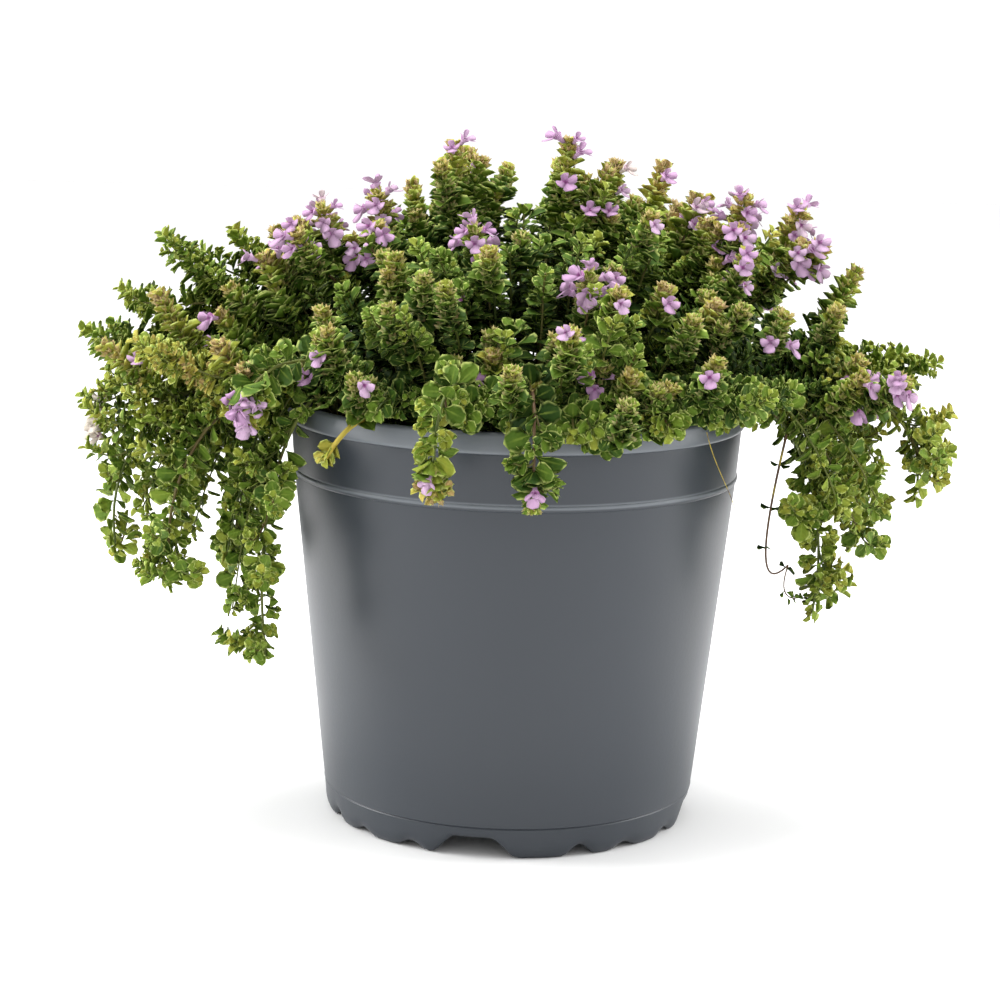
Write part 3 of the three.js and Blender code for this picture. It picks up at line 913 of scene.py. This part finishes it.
habits = dict(
    tall=dict(head=32, branches=4, column=46),
    spike=dict(head=22, branches=4, column=52),
    bud=dict(head=13, branches=3, column=44),
    leafy=dict(head=0, branches=6, column=70, gap=2.2, tipLength=9, tufts=0.7),
    hanging=dict(head=12, branches=3, column=56, trails=True, sides=(3, 7), leaves=1.2),
    trailing=dict(
        head=0, branches=7, column=110, trails=True, sides=(8, 23), gap=3.0, tipLength=12, tufts=0.35,
    ),
)

def shootTo(habit, tip, tint, **more):
    return dict(more, habit=habit, tip=tip, tint=tint)


# The shoots that the photograph shows: habit, tip, tint and what else sets one apart
frontShoots = [
    shootTo("tall", (-21, 5, 206), 0.44, florets=2),
    shootTo("spike", (14, 0, 208), 0.5, florets=4),
    shootTo("spike", (29, 16, 201), 0.5, florets=2),
    shootTo("spike", (44, 28, 200), 0.68, florets=1),
    shootTo("spike", (53, 4, 192), 0.58, florets=3),
    shootTo("spike", (68, -4, 193), 0.58, bloom=True),
    shootTo("spike", (86, 8, 189), 0.58, bloom=True),
    shootTo("spike", (101, -10, 172), 0.6, florets=0),
    shootTo("spike", (-60, -12, 188), 0.54, bloom=True),
    shootTo("spike", (-44, -2, 192), 0.54, bloom=True),
    shootTo("spike", (-76, -22, 173), 0.7, florets=1),
    shootTo("leafy", (-107, -8, 177), 0.42),
    shootTo("leafy", (-88, 14, 177), 0.44),
    shootTo("leafy", (-120, 6, 158), 0.42),
    shootTo("spike", (-106, -32, 162), 0.72, florets=0),
    shootTo("tall", (-36, -46, 176), 0.4, florets=0),
    shootTo("spike", (-14, -28, 184), 0.44, bloom=True),
    shootTo("tall", (20, -46, 173), 0.46, bloom=True),
    shootTo("bud", (42, -42, 169), 0.72, florets=1),
    shootTo("spike", (66, -32, 178), 0.46, florets=3),
    shootTo("bud", (-56, -60, 154), 0.5, florets=1),
    shootTo("bud", (-86, -50, 150), 0.8, florets=0),
    shootTo("bud", (-7, -63, 151), 0.74, florets=0),
    shootTo("bud", (32, -66, 146), 0.66, florets=0),
    shootTo("bud", (106, -26, 140), 0.5, bloom=True),
    shootTo("leafy", (119, 12, 144), 0.44),
    shootTo("leafy", (66, -58, 142), 0.42),
    shootTo("hanging", (-22, -86, 112), 0.66, florets=1),
    shootTo("hanging", (5, -86, 110), 0.34, florets=1),
    shootTo("hanging", (-75, -62, 128), 0.5, florets=6),
    shootTo("trailing", (-119, -26, 84), 0.5, branches=15),
    shootTo("trailing", (-72, -46, 58), 0.42, branches=13),
    shootTo("trailing", (-100, -44, 78), 0.42, branches=13),
    shootTo("trailing", (-86, 16, 74), 0.34, branches=9),
    shootTo("trailing", (-122.5, -5, 112), 0.46, branches=13, faded=6),
    shootTo("trailing", (90, -28, 70), 0.5, branches=12),
    shootTo("trailing", (104, 0, 86), 0.5, branches=12),
    shootTo("trailing", (121, -14, 104), 0.54, branches=14),
]

backRings = [
    dict(count=3, reach=43, height=198, habits=("spike", "tall"), spread=(58, 166)),
    dict(count=4, reach=82, height=178, habits=("spike", "leafy"), spread=(18, 168)),
    dict(count=4, reach=100, height=148, habits=("leafy", "bud"), spread=(22, 158)),
    dict(count=2, reach=96, height=92, habits=("trailing",), spread=(30, 150)),
]


def seeded(seed):  # the solids' own generator
    state = seed
    while True:
        state = (state * 1664525 + 1013904223) & 0xFFFFFFFF
        yield state / 4294967296


def backShoots():
    draw = seeded(7)
    shoots = []
    for ring in backRings:
        low, high = ring["spread"]
        for i in range(ring["count"]):
            share = (i + 0.5) / ring["count"]
            angle = math.radians(low + share * (high - low) + (next(draw) - 0.5) * 6)
            reach = ring["reach"] * (0.95 + 0.1 * next(draw))
            height = ring["height"] + (next(draw) - 0.5) * 12
            habit = ring["habits"][i % len(ring["habits"])]
            tip = (reach * math.cos(angle), reach * math.sin(angle), height)
            shoots.append(shootTo(habit, tip, 0.36 + 0.08 * (i % 3), florets=i % 2, back=True))
    return shoots


def bezier(a, b, c, d, count):
    points = []
    for k in range(count):
        t = k / (count - 1)
        s = 1 - t
        points.append(a * s ** 3 + b * 3 * s * s * t + c * 3 * s * t * t + d * t ** 3)
    return points


def flatOut(at):  # the level way out from the axis to a place
    return Vector((at.x, at.y, 0)).normalized()


def headDirection(tip):
    lean = plant["lean"] * (1 + max(0, plant["lowHeads"] - tip.z) / 25)
    return Vector((tip.x * lean, tip.y * lean, 1)).normalized()


def mainLine(shoot):
    tip = Vector(shoot["tip"])
    habit = habits[shoot["habit"]]
    trails = habit.get("trails")
    reach = math.hypot(tip.x, tip.y)
    radius = plant["trailRoot"] if trails else min(plant["rootShare"] * reach, plant["rootLimit"])
    clear = Vector((tip.x / reach * radius, tip.y / reach * radius, plant["clear"]))
    foot = Vector((clear.x, clear.y, plant["root"]))
    if trails:
        rise = Vector((clear.x, clear.y, plant["trailTop"]))
        bow = tip + flatOut(tip) * plant["trailBow"]
        bow.z = 0.3 * tip.z + plant["trailBend"]
        return [foot] + bezier(clear, rise, bow, tip, 34)
    way = headDirection(tip)
    end = tip - way * 0.8 * habit["head"]
    span = (end - clear).length
    rise = Vector((clear.x, clear.y, clear.z + 0.4 * span))
    turn = end - way * 0.35 * span
    turn.z = max(turn.z, plant["overRim"])
    line = [foot] + bezier(clear, rise, turn, end, 22)
    if habit["head"]:
        line.append(tip - way * 0.12 * habit["head"])
    return line


def lengthOf(line):
    return sum((b - a).length for a, b in zip(line, line[1:]))


# Walks a line back from its end and gives the place and the way there
def walkBack(line, distance):
    for b, a in zip(reversed(line), reversed(line[:-1])):
        length = (b - a).length
        if distance <= length or a is line[0]:
            way = (b - a).normalized()
            return b - way * min(distance, length), way
        distance -= length
    return line[0], up


def sideways(way, angle):
    side = way.cross(Vector((0.31, 0.95, 0.1))).normalized()
    return (Matrix.Rotation(angle, 3, way) @ side).normalized()


def around(way, roll, k, count, rng):  # the way out to one of a whorl
    return sideways(way, roll + 2 * math.pi * k / count + rng.uniform(-0.25, 0.25))


def scatter(rng, amount):
    return Vector((rng.uniform(-amount, amount), rng.uniform(-amount, amount), rng.uniform(-amount, amount)))


# The way that leaves turn their upper side at a place: up, and away from the middle of the plant
def towardsLight(at):
    return (Vector((at.x, at.y, 0)) / 90 + Vector((0, -0.25, 1))).normalized()


def oneLeaf(sprig, at, out, way, rise, size, tint, rng):
    grow = (out + way * rise + scatter(rng, 0.16)).normalized()
    face = (way * 0.75 + towardsLight(at) * 0.7 + scatter(rng, 0.3)).normalized()
    kind = "leaf" if size > plant["smallBelow"] else "small"
    sprig.put(kind, at + out * 0.4, grow, face, size, tint + rng.uniform(-0.12, 0.12))


# A few pairs of small leaves round a short tip, in the axil of a leaf
def tuft(sprig, at, way, size, tint, rng, pairs=3):
    roll = rng.random() * 3
    for k in range(pairs):
        young = 1 - k / pairs
        spot = at + way * (size * 0.85 * young)
        rise = 0.3 + 1.3 * young
        length = size * (1 - 0.5 * young)
        for half in (0, math.pi):
            oneLeaf(sprig, spot, sideways(way, roll + half), way, rise, length, tint + 0.14 * young, rng)
        roll += math.pi / 2


# Leaf pairs down a stem, each at right angles to the last, small and upright towards the tip
def leafPairs(sprig, line, start, reach, size, tint, rng, tufts=0.35, tipLength=14, gap=3):
    roll = rng.random() * 3
    distance = start
    total = lengthOf(line)
    while distance < min(start + reach, total - 4):
        at, way = walkBack(line, distance)
        young = max(0, 1 - distance / tipLength)
        old = min(1, max(0, (distance - 25) / 60))
        length = size * (1 - 0.45 * young) * rng.uniform(0.85, 1.12)
        shade = tint + 0.2 * young - 0.16 * old
        for half in (0, math.pi):
            out = sideways(way, roll + half + rng.uniform(-0.3, 0.3))
            oneLeaf(sprig, at, out, way, 0.3 + 1.2 * young, length, shade, rng)
            if young < 0.5 and rng.random() < tufts:
                aside = (out + way * 0.8 + up * 0.35).normalized()
                tuft(sprig, at + out, aside, length * 0.7, shade + 0.06, rng)
        roll += math.pi / 2 + rng.uniform(-0.25, 0.25)
        distance += 1.3 + (gap - 1.3) * (1 - young) + 1.6 * old


# A head: whorls of cupped bracts with calyces between them, paler and closer towards the top
def flowerHead(sprig, base, way, length, size, tint, rng, florets=0):
    whorls = max(4, round(length / plant["whorlGap"]))
    bracts, calyces = plant["bracts"], plant["calyces"]
    roll = rng.random() * 3
    tops = []
    for i in range(whorls):
        t = i / (whorls - 1)
        at = base + way * (t * (length - 2.5))
        reach = size * (1 - 0.40 * t * t) * rng.uniform(0.94, 1.06)
        rise = 0.7 + 1.5 * t ** 3
        shade = tint - 0.14 + 0.34 * t * t
        for k in range(bracts):
            out = around(way, roll, k, bracts, rng)
            grow = (out + way * (rise + rng.uniform(-0.45, 0.45))).normalized()
            face = (way - out * 0.2 + scatter(rng, 0.35)).normalized()
            bract = reach * rng.uniform(0.78, 1.15)
            sprig.put("bract", at + out * 0.5, grow, face, bract, shade + rng.uniform(-0.14, 0.14))
        for k in range(calyces):
            out = around(way, roll, k + 0.5, calyces, rng)
            grow = (out + way * (rise + 0.5)).normalized()
            calyx = plant["calyxSize"] * rng.uniform(0.85, 1.1) * (1 - 0.25 * t)
            sprig.put("calyx", at + out * 1.4 + way * 0.8, grow, way, calyx, shade + 0.15)
            tops.append((at + out * 2.2 + way * 1.2, grow, out))
        roll += math.pi / bracts
    crown = base + way * (length - 3.4)
    for k in range(plant["topCalyces"]):  # young calyces crowd at the top
        out = sideways(way, roll + k * 2.4)
        grow = (way + out * (0.25 + 0.09 * k)).normalized()
        sprig.put("calyx", crown + out * 0.14 * k, grow, out, 3.2 - 0.1 * k, tint + 0.34)
    openFlowers(sprig, tops, florets, rng)


# Open flowers stand out of the calyces that face the light, most of them high on the head
def openFlowers(sprig, tops, florets, rng):
    def lit(top):
        at, grow, out = top
        return at.z * 0.05 + out.dot(towardsLight(at)) * 0.8 - out.y * 0.5 + rng.random()

    tops.sort(key=lit, reverse=True)
    for at, grow, out in tops[:florets]:
        oneFloret(sprig, at, (grow + out * 0.6).normalized(), rng)


def oneFloret(sprig, at, way, rng, tone=None):
    face = (up + scatter(rng, 0.35)).normalized()
    size = plant["floretSize"] * rng.uniform(0.85, 1.1)
    grow = (way + scatter(rng, 0.2)).normalized()
    sprig.put("floret", at, grow, face, size, tone if tone else 0.8 * rng.random())


# A side branch of an upright shoot ends beside and below its tip
def sideBranch(sprig, line, shoot, rng):
    bloom = shoot.get("bloom")
    at, way = walkBack(line, lengthOf(line) * rng.uniform(0.35, 0.62))
    spin = rng.uniform(-2.9, -0.25) if bloom else rng.uniform(0, 2 * math.pi)  # in front of a bloom
    aside = Vector((math.cos(spin), math.sin(spin), 0))
    goal = Vector(shoot["tip"]) + aside * rng.uniform(8, 16) - up * rng.uniform(6, 28)
    goal.z = max(goal.z, plant["branchFloor"])
    arrive = (headDirection(goal) + aside * 0.3).normalized()
    span = (goal - at).length
    leave = at + way * span * 0.35 + aside * span * 0.1
    branch = bezier(at, leave, goal - arrive * span * 0.35, goal, 10)
    tint = shoot["tint"] + rng.uniform(-0.1, 0.1)
    if habits[shoot["habit"]]["head"] and rng.random() < 0.75:
        length = rng.uniform(10, 19)
        florets = rng.choice((1, 2, 3) if bloom else (0, 0, 1))
        base = goal - arrive * length * 0.8
        flowerHead(sprig, base, arrive, length, plant["bractSize"] * 0.95, tint, rng, florets)
        leafPairs(sprig, branch, length * 0.8 + 1, 30, plant["leafSize"] * 0.9, tint - 0.12, rng)
    else:
        size = plant["leafSize"] * 0.92
        leafPairs(sprig, branch, 0.3, 42, size, tint - 0.04, rng, tufts=0.5, tipLength=8, gap=2.4)
    sprig.draw(branch, plant["thick"] * 0.6, plant["thin"] * 0.7, rng)


# A side branch of a trailing stem turns up at its end, towards the light
def trailBranch(sprig, line, shoot, rng):
    at, way = walkBack(line, lengthOf(line) * rng.uniform(0.03, 0.68))
    aside = (Matrix.Rotation(rng.uniform(-1.9, 1.9), 3, "Z") @ flatOut(at)).normalized()
    goal = at + aside * rng.uniform(*habits[shoot["habit"]]["sides"])
    goal = goal + way * rng.uniform(0, 8) + up * rng.uniform(-8, 8)
    reach = math.hypot(goal.x, goal.y)
    limit = math.hypot(*shoot["tip"][:2]) + plant["trailBow"]
    wallClear = plant["wallClear"]
    if reach > limit:
        goal.x, goal.y = goal.x * limit / reach, goal.y * limit / reach
    if reach < wallClear and goal.z < plant["wallTop"]:
        goal.x, goal.y = goal.x * wallClear / reach, goal.y * wallClear / reach
    goal.z = max(goal.z, shoot["tip"][2] + 4)
    span = (goal - at).length
    arrive = (aside + up * 0.8).normalized()
    branch = bezier(at, at + way * span * 0.35, goal - arrive * span * 0.4, goal, 9)
    tint = shoot["tint"] + rng.uniform(-0.1, 0.1)
    leafPairs(sprig, branch, 0.3, 34, plant["leafSize"] * 0.9, tint, rng, tufts=0.25, tipLength=10)
    sprig.draw(branch, plant["thick"] * 0.55, plant["thin"] * 0.6, rng)


# Faded flowers stand along the outer part of a trailing stem
def fadedFlowers(sprig, line, count, rng):
    for k in range(count):
        at, way = walkBack(line, 2 + 15 * k / count)
        out = (flatOut(at) + Vector((0, -1, 0.3)) + scatter(rng, 0.5)).normalized()
        sprig.put("calyx", at + out * 2.5, out, up, plant["calyxSize"] * 1.1, 0.6)
        oneFloret(sprig, at + out * 4.2, out, rng, 1.1)


def makeShoot(shoot, number, node):
    habit = habits[shoot["habit"]]
    rng = random.Random(1000 + number)
    sprig = Sprig(plain=shoot.get("back", False))
    line = mainLine(shoot)
    tip = Vector(shoot["tip"])
    trails = habit.get("trails")
    if habit["head"]:
        way = (line[-1] - line[-3]).normalized() if trails else headDirection(tip)
        length = habit["head"] - (plant["bloomHeight"] if shoot.get("bloom") else 0)
        base = tip - way * habit["head"]
        flowerHead(sprig, base, way, length, plant["bractSize"], shoot["tint"], rng, shoot.get("florets", 0))
        size = plant["leafSize"] * habit.get("leaves", 1)
        leafPairs(sprig, line, habit["head"] * 0.85, habit["column"], size, shoot["tint"] - 0.12, rng)
    else:
        leafPairs(
            sprig, line, 0.3, habit["column"], plant["leafSize"], shoot["tint"], rng,
            habit["tufts"], habit["tipLength"], habit["gap"],
        )
    branch = trailBranch if trails else sideBranch
    for k in range(shoot.get("branches", habit["branches"])):
        branch(sprig, line, shoot, rng)
    fadedFlowers(sprig, line, shoot.get("faded", 0), rng)
    sprig.draw(line, plant["thick"], plant["thin"], rng)
    sprig.grow(camel(node), number, "leaf", node)


# A head in full flower: open flowers over the top of its bracts, with calyces between them
bloomRings = (
    dict(at=-1, rise=0.2, count=3),
    dict(at=2, rise=0.4, count=4),
    dict(at=4.6, rise=0.9, count=3),
    dict(at=5.8, rise=3, count=1),
)


def makeBloom(shoot, number, node):
    rng = random.Random(2000 + number)
    sprig = Sprig()
    tip = Vector(shoot["tip"])
    way = headDirection(tip)
    base = tip - way * (plant["bloomHeight"] + 4)
    for i, ring in enumerate(bloomRings):
        for k in range(ring["count"] * 2):
            out = sideways(way, math.pi * (k + 0.5 * i) / ring["count"] + rng.uniform(-0.2, 0.2))
            grow = (out + way * ring["rise"]).normalized()
            at = base + way * ring["at"] + out * 1.2
            sprig.put("calyx", at, grow, way, plant["calyxSize"] * rng.uniform(0.9, 1.1), shoot["tint"] + 0.2)
            if k % 2 == 0 and rng.random() < 0.86:
                oneFloret(sprig, at + grow * 1.2, grow, rng)
            else:
                face = (way - out * 0.3).normalized()
                sprig.put("bract", at, grow, face, plant["bractSize"] * 0.62, shoot["tint"] + 0.14)
    sprig.grow(camel(node), number, "flower", node)


words = dict(leafy="leafy_shoot", trailing="trailing_stem", hanging="hanging_shoot")
counts = {}


def numbered(word):
    counts[word] = counts.get(word, 0) + 1
    return f"{word}_{counts[word]:02d}"


def camel(node):
    word, number = node.rsplit("_", 1)
    first, *rest = word.split("_")
    return first + "".join(part.title() for part in rest) + number


shoots = frontShoots + backShoots()
for number, shoot in enumerate(shoots):
    makeShoot(shoot, number, numbered(words.get(shoot["habit"], "flower_shoot")))
    if shoot.get("bloom"):
        makeBloom(shoot, number, numbered("bloom"))
print("shoots grown:", len(shoots))


# Young leafy growth fills the plant between the main shoots, a quarter of it in each piece

undergrowth = dict(
    names="ABCD", plain="BC", flowering="A",  # the quarters, from the front round to the right and on
    count=36, inner=5, outer=58, foot=114, low=0.78, high=0.99, lowest=134, frontFall=0.3,
    heads=0.45, headLength=(10, 17), thick=0.55, thin=0.3, seed=31,
)


def makeUndergrowth(part, letter):
    form = undergrowth
    rng = random.Random(form["seed"] + part)
    sprig = Sprig(plain=letter in form["plain"])
    for k in range(form["count"]):
        angle = 2 * math.pi * (part + (k + rng.random()) / form["count"]) / len(form["names"])
        radius = math.sqrt(rng.uniform(form["inner"] ** 2, form["outer"] ** 2))
        foot = Vector((radius * math.sin(angle), -radius * math.cos(angle), form["foot"]))
        out = outAt(angle)
        far = radius * rng.uniform(1.2, 1.6)
        height = domeHeight(far) * rng.uniform(form["low"], form["high"])
        goal = out * far + up * max(height - form["frontFall"] * frontDrop(out.y * far), form["lowest"])
        span = (goal - foot).length
        bend = goal - (up + out * 0.7).normalized() * span * 0.3
        line = bezier(foot, foot + up * span * 0.4, bend, goal, 11)
        tint = rng.uniform(0.34, 0.56)
        if rng.random() < form["heads"]:
            length = rng.uniform(*form["headLength"])
            way = (up + out * 0.4).normalized()
            florets = rng.choice((0, 1, 2)) if letter in form["flowering"] else 0
            flowerHead(sprig, goal - up * 6, way, length, plant["bractSize"] * 0.92, tint, rng, florets)
            leafPairs(sprig, line, 8, 34, plant["leafSize"] * 0.9, tint - 0.1, rng, tufts=0.25)
        else:
            size = plant["leafSize"] * 0.95
            leafPairs(sprig, line, 0.3, 40, size, tint - 0.06, rng, tufts=0.25, tipLength=10)
        sprig.draw(line, form["thick"], form["thin"], rng)
    sprig.grow("undergrowth" + letter, 300 + part, "leaf")


for part, letter in enumerate(undergrowth["names"]):
    makeUndergrowth(part, letter)
print("undergrowth grown")


# Shaded shoots with dark leaves fill the plant from the compost up

innerShoots = dict(
    count=38, inner=3, outer=54, foot=116, height=(68, 36), thick=0.5, thin=0.3, stemTint=0.6,
    leafSize=7.6, leafTint=0.3, tufts=0.25, tipLength=3, gap=3.8, deepest=80, seed=37,
)


def makeInnerShoots():
    form = innerShoots
    rng = random.Random(form["seed"])
    sprig = Sprig(deepest=form["deepest"])
    tall, short = form["height"]
    for k in range(form["count"]):
        out = outAt(k * 2.4)
        share = (k + rng.random()) / form["count"]
        radius = math.sqrt(form["inner"] ** 2 * (1 - share) + form["outer"] ** 2 * share)
        foot = out * radius + up * form["foot"]
        height = tall + (short - tall) * share
        goal = foot + out * rng.uniform(0, 4) + scatter(rng, 3) + up * height
        line = bezier(foot, foot + up * 12, goal - up * 10, goal, 8)
        leafPairs(
            sprig, line, 0.3, height - 2, form["leafSize"], form["leafTint"], rng,
            form["tufts"], form["tipLength"], form["gap"],
        )
        sprig.draw(line, form["thick"], form["thin"], tint=form["stemTint"])
    sprig.grow("innerShoots", form["seed"], "leaf")


makeInnerShoots()
print("inner shoots grown")


# Thin leafy stems fall over the rim between the trailing stems: angles from the front, how far out and
# how low each one ends, and how many
curtains = (
    dict(name="curtainLeft", first=-112, last=-62, out=(84, 122), drop=(64, 104), count=17, seed=91),
    dict(name="curtainRight", first=64, last=112, out=(84, 120), drop=(84, 112), count=11, seed=92),
)
curtainLine = dict(
    foot=60, footHeight=128, rise=16, overReach=50, overShare=0.35, overHeight=150, width=40,
    thick=0.5, thin=0.25, tufts=0.2, tipLength=11, gap=3.4,
)


def makeCurtain(curtain):
    form = curtainLine
    rng = random.Random(curtain["seed"])
    sprig = Sprig()
    near, low = curtain["out"][0], curtain["drop"][0]
    fall = (curtain["drop"][1] - low) / form["width"]
    for k in range(curtain["count"]):
        share = (k + rng.random()) / curtain["count"]
        out = outAt(math.radians(curtain["first"] + (curtain["last"] - curtain["first"]) * share))
        far = rng.uniform(*curtain["out"])
        foot = out * form["foot"] + up * form["footHeight"]
        goal = out * far + up * (low + fall * (far - near) + rng.uniform(-4, 14))
        over = out * (form["overShare"] * far + form["overReach"]) + up * form["overHeight"]
        line = bezier(foot, foot + up * form["rise"], over, goal, 15)
        tint = rng.uniform(0.36, 0.54)
        size = plant["leafSize"] * rng.uniform(0.8, 0.95)
        leafPairs(sprig, line, 0.3, 62, size, tint, rng, form["tufts"], form["tipLength"], form["gap"])
        sprig.draw(line, form["thick"], form["thin"], rng)
    sprig.grow(curtain["name"], curtain["seed"], "leaf")


# Short leafy shoots creep over the rim, closer together at the front: angles from the front, and steps
rimShoots = dict(
    foot=57, footHeight=116, out=(70, 81), height=(127, 139), aside=9, thick=0.5, thin=0.3,
    leafSize=7.0, leafTint=0.40, tufts=0.2, tipLength=6, gap=3.4,
)
rimParts = (
    dict(name="rimLeavesFront", first=-30, last=76, step=4.6, seed=77),
    dict(name="rimLeavesBack", first=86, last=300, step=13, seed=78),
)


def makeRimLeaves(part):
    form = rimShoots
    rng = random.Random(part["seed"])
    sprig = Sprig()
    for k in range(int((part["last"] - part["first"]) / part["step"]) + 1):
        turn = math.radians(part["first"] + part["step"] * k + rng.uniform(-2, 2))
        out = outAt(turn)
        aside = Vector((math.cos(turn), math.sin(turn), 0)) * rng.uniform(-form["aside"], form["aside"])
        foot = out * form["foot"] + up * form["footHeight"]
        goal = out * rng.uniform(*form["out"]) + aside + up * rng.uniform(*form["height"])
        line = bezier(foot, foot + up * 20, goal - out * 6 + up * 7, goal, 14)
        size = form["leafSize"] * rng.uniform(0.85, 1.1)
        leafPairs(
            sprig, line, 0.3, 26, size, form["leafTint"], rng,
            form["tufts"], form["tipLength"], form["gap"],
        )
        sprig.draw(line, form["thick"], form["thin"], rng)
    sprig.grow(part["name"], part["seed"], "leaf")


for curtain in curtains:
    makeCurtain(curtain)
for part in rimParts:
    makeRimLeaves(part)
print("curtains and rim leaves grown")


# Single stems that stand out: a yellow one over the rim at the left, a bare wiry one with withered
# leaves at the right, and a pale thread down the band

# The four points that each stem follows, how many points it gets, how thick it starts and ends, its tint
looseStems = dict(
    yellow=(((-38, -50, 126), (-42, -57, 133), (-47, -68, 131), (-53, -71, 121)), 12, 0.9, 0.7, 1.1),
    wiry=(((80, -28, 124), (77, -28, 108), (70, -30, 72), (82, -30, 85)), 22, 0.42, 0.3, 0.9),
    lower=(((82, -30, 85), (80, -29, 78), (81, -28, 73), (87, -28, 75)), 12, 0.25, 0.2, 0.9),
    thread=(((55, -46.2, 127), (57.6, -43.4, 117), (63, -36, 109), (66.2, -24.2, 100)), 14, 0.15, 0.11, 0.98),
)
witheredAt = (1, 14, 26, 39)  # how far from the wiry stem's end


def makeLooseStems():
    rng = random.Random(5)
    sprig = Sprig()
    lines = {}
    for name, (through, count, thick, thin, tint) in looseStems.items():
        lines[name] = bezier(*map(Vector, through), count)
        sprig.draw(lines[name], thick, thin, tint=tint)
    leafPairs(sprig, lines["yellow"], 0.3, 6, 6.5, 0.6, rng, tufts=0)
    for distance in witheredAt:
        at, way = walkBack(lines["wiry"], distance)
        for k in range(2):
            out = sideways(way, k * math.pi + rng.random())
            sprig.put("small", at, (out + scatter(rng, 0.3)).normalized(), way, 3.4, rng.uniform(-0.3, 0.1))
    leafPairs(sprig, lines["lower"], 0.2, 8, 3.6, 0.2, rng, tufts=0)
    sprig.grow("looseStems", 41, "leaf")


makeLooseStems()
for name, thing, material in unitKinds:  # the pieces hold copies of the units
    bpy.data.objects.remove(thing)
triangles = sum(len(face.vertices) - 2 for piece in pieces for face in piece.data.polygons)
print("pieces:", len(pieces), "triangles:", triangles)


# Stage: pale floor, soft light and the camera of the photograph

studio = dict(
    floor=6.0, world=1.12,
    lamps=(  # name, place, aim, size and power of each
        ("overhead", (-0.1, 0.1, 1.4), (0, 0, 0.15), (0.9, 0.9), 22),
        ("leftStrip", (-1.2, 0.1, 0.5), (0, 0, 0.09), (0.5, 1.1), 20),
        ("rightStrip", (1.2, 0.15, 0.5), (0, 0, 0.09), (0.5, 1.1), 15),
    ),
)


def makeStage():
    half = studio["floor"] / 2
    corners = [(-half, -half, 0), (half, -half, 0), (half, half, 0), (-half, half, 0)]
    mesh = newMesh("floor", corners, [(0, 1, 2, 3)])
    mesh.materials.append(floorMaterial)
    newObject("floor", mesh)
    world = bpy.data.worlds.new("studio")
    world.use_nodes = True
    background = world.node_tree.nodes["Background"]
    background.inputs["Color"].default_value = (1, 1, 1, 1)
    background.inputs["Strength"].default_value = studio["world"]
    bpy.context.scene.world = world
    for name, place, aim, size, power in studio["lamps"]:
        lamp = bpy.data.lights.new(name, "AREA")
        lamp.shape = "RECTANGLE"
        lamp.size, lamp.size_y = size
        lamp.energy = power
        thing = newObject(name, lamp)
        thing.location = place
        thing.rotation_euler = (Vector(aim) - Vector(place)).to_track_quat("-Z", "Y").to_euler()


view = dict(distance=0.7715, height=0.2410, pitch=10.58, yaw=-0.33, roll=1.40, lens=91.5, sensor=36)


def makeCamera():
    pitch, yaw, roll = (math.radians(view[key]) for key in ("pitch", "yaw", "roll"))
    forward = Vector((math.sin(yaw) * math.cos(pitch), math.cos(yaw) * math.cos(pitch), -math.sin(pitch)))
    right = forward.cross(up).normalized()
    over = right.cross(forward)
    across = right * math.cos(roll) + over * math.sin(roll)
    above = over * math.cos(roll) - right * math.sin(roll)
    camera = bpy.data.cameras.new("camera")
    camera.lens = view["lens"]
    camera.sensor_width = view["sensor"]
    thing = newObject("camera", camera)
    turn = Matrix((across, above, -forward)).transposed().to_4x4()
    thing.matrix_world = Matrix.Translation((0, -view["distance"], view["height"])) @ turn
    bpy.context.scene.camera = thing
    bpy.context.scene.view_settings.view_transform = "Standard"


makeStage()
makeCamera()
print("stage set")
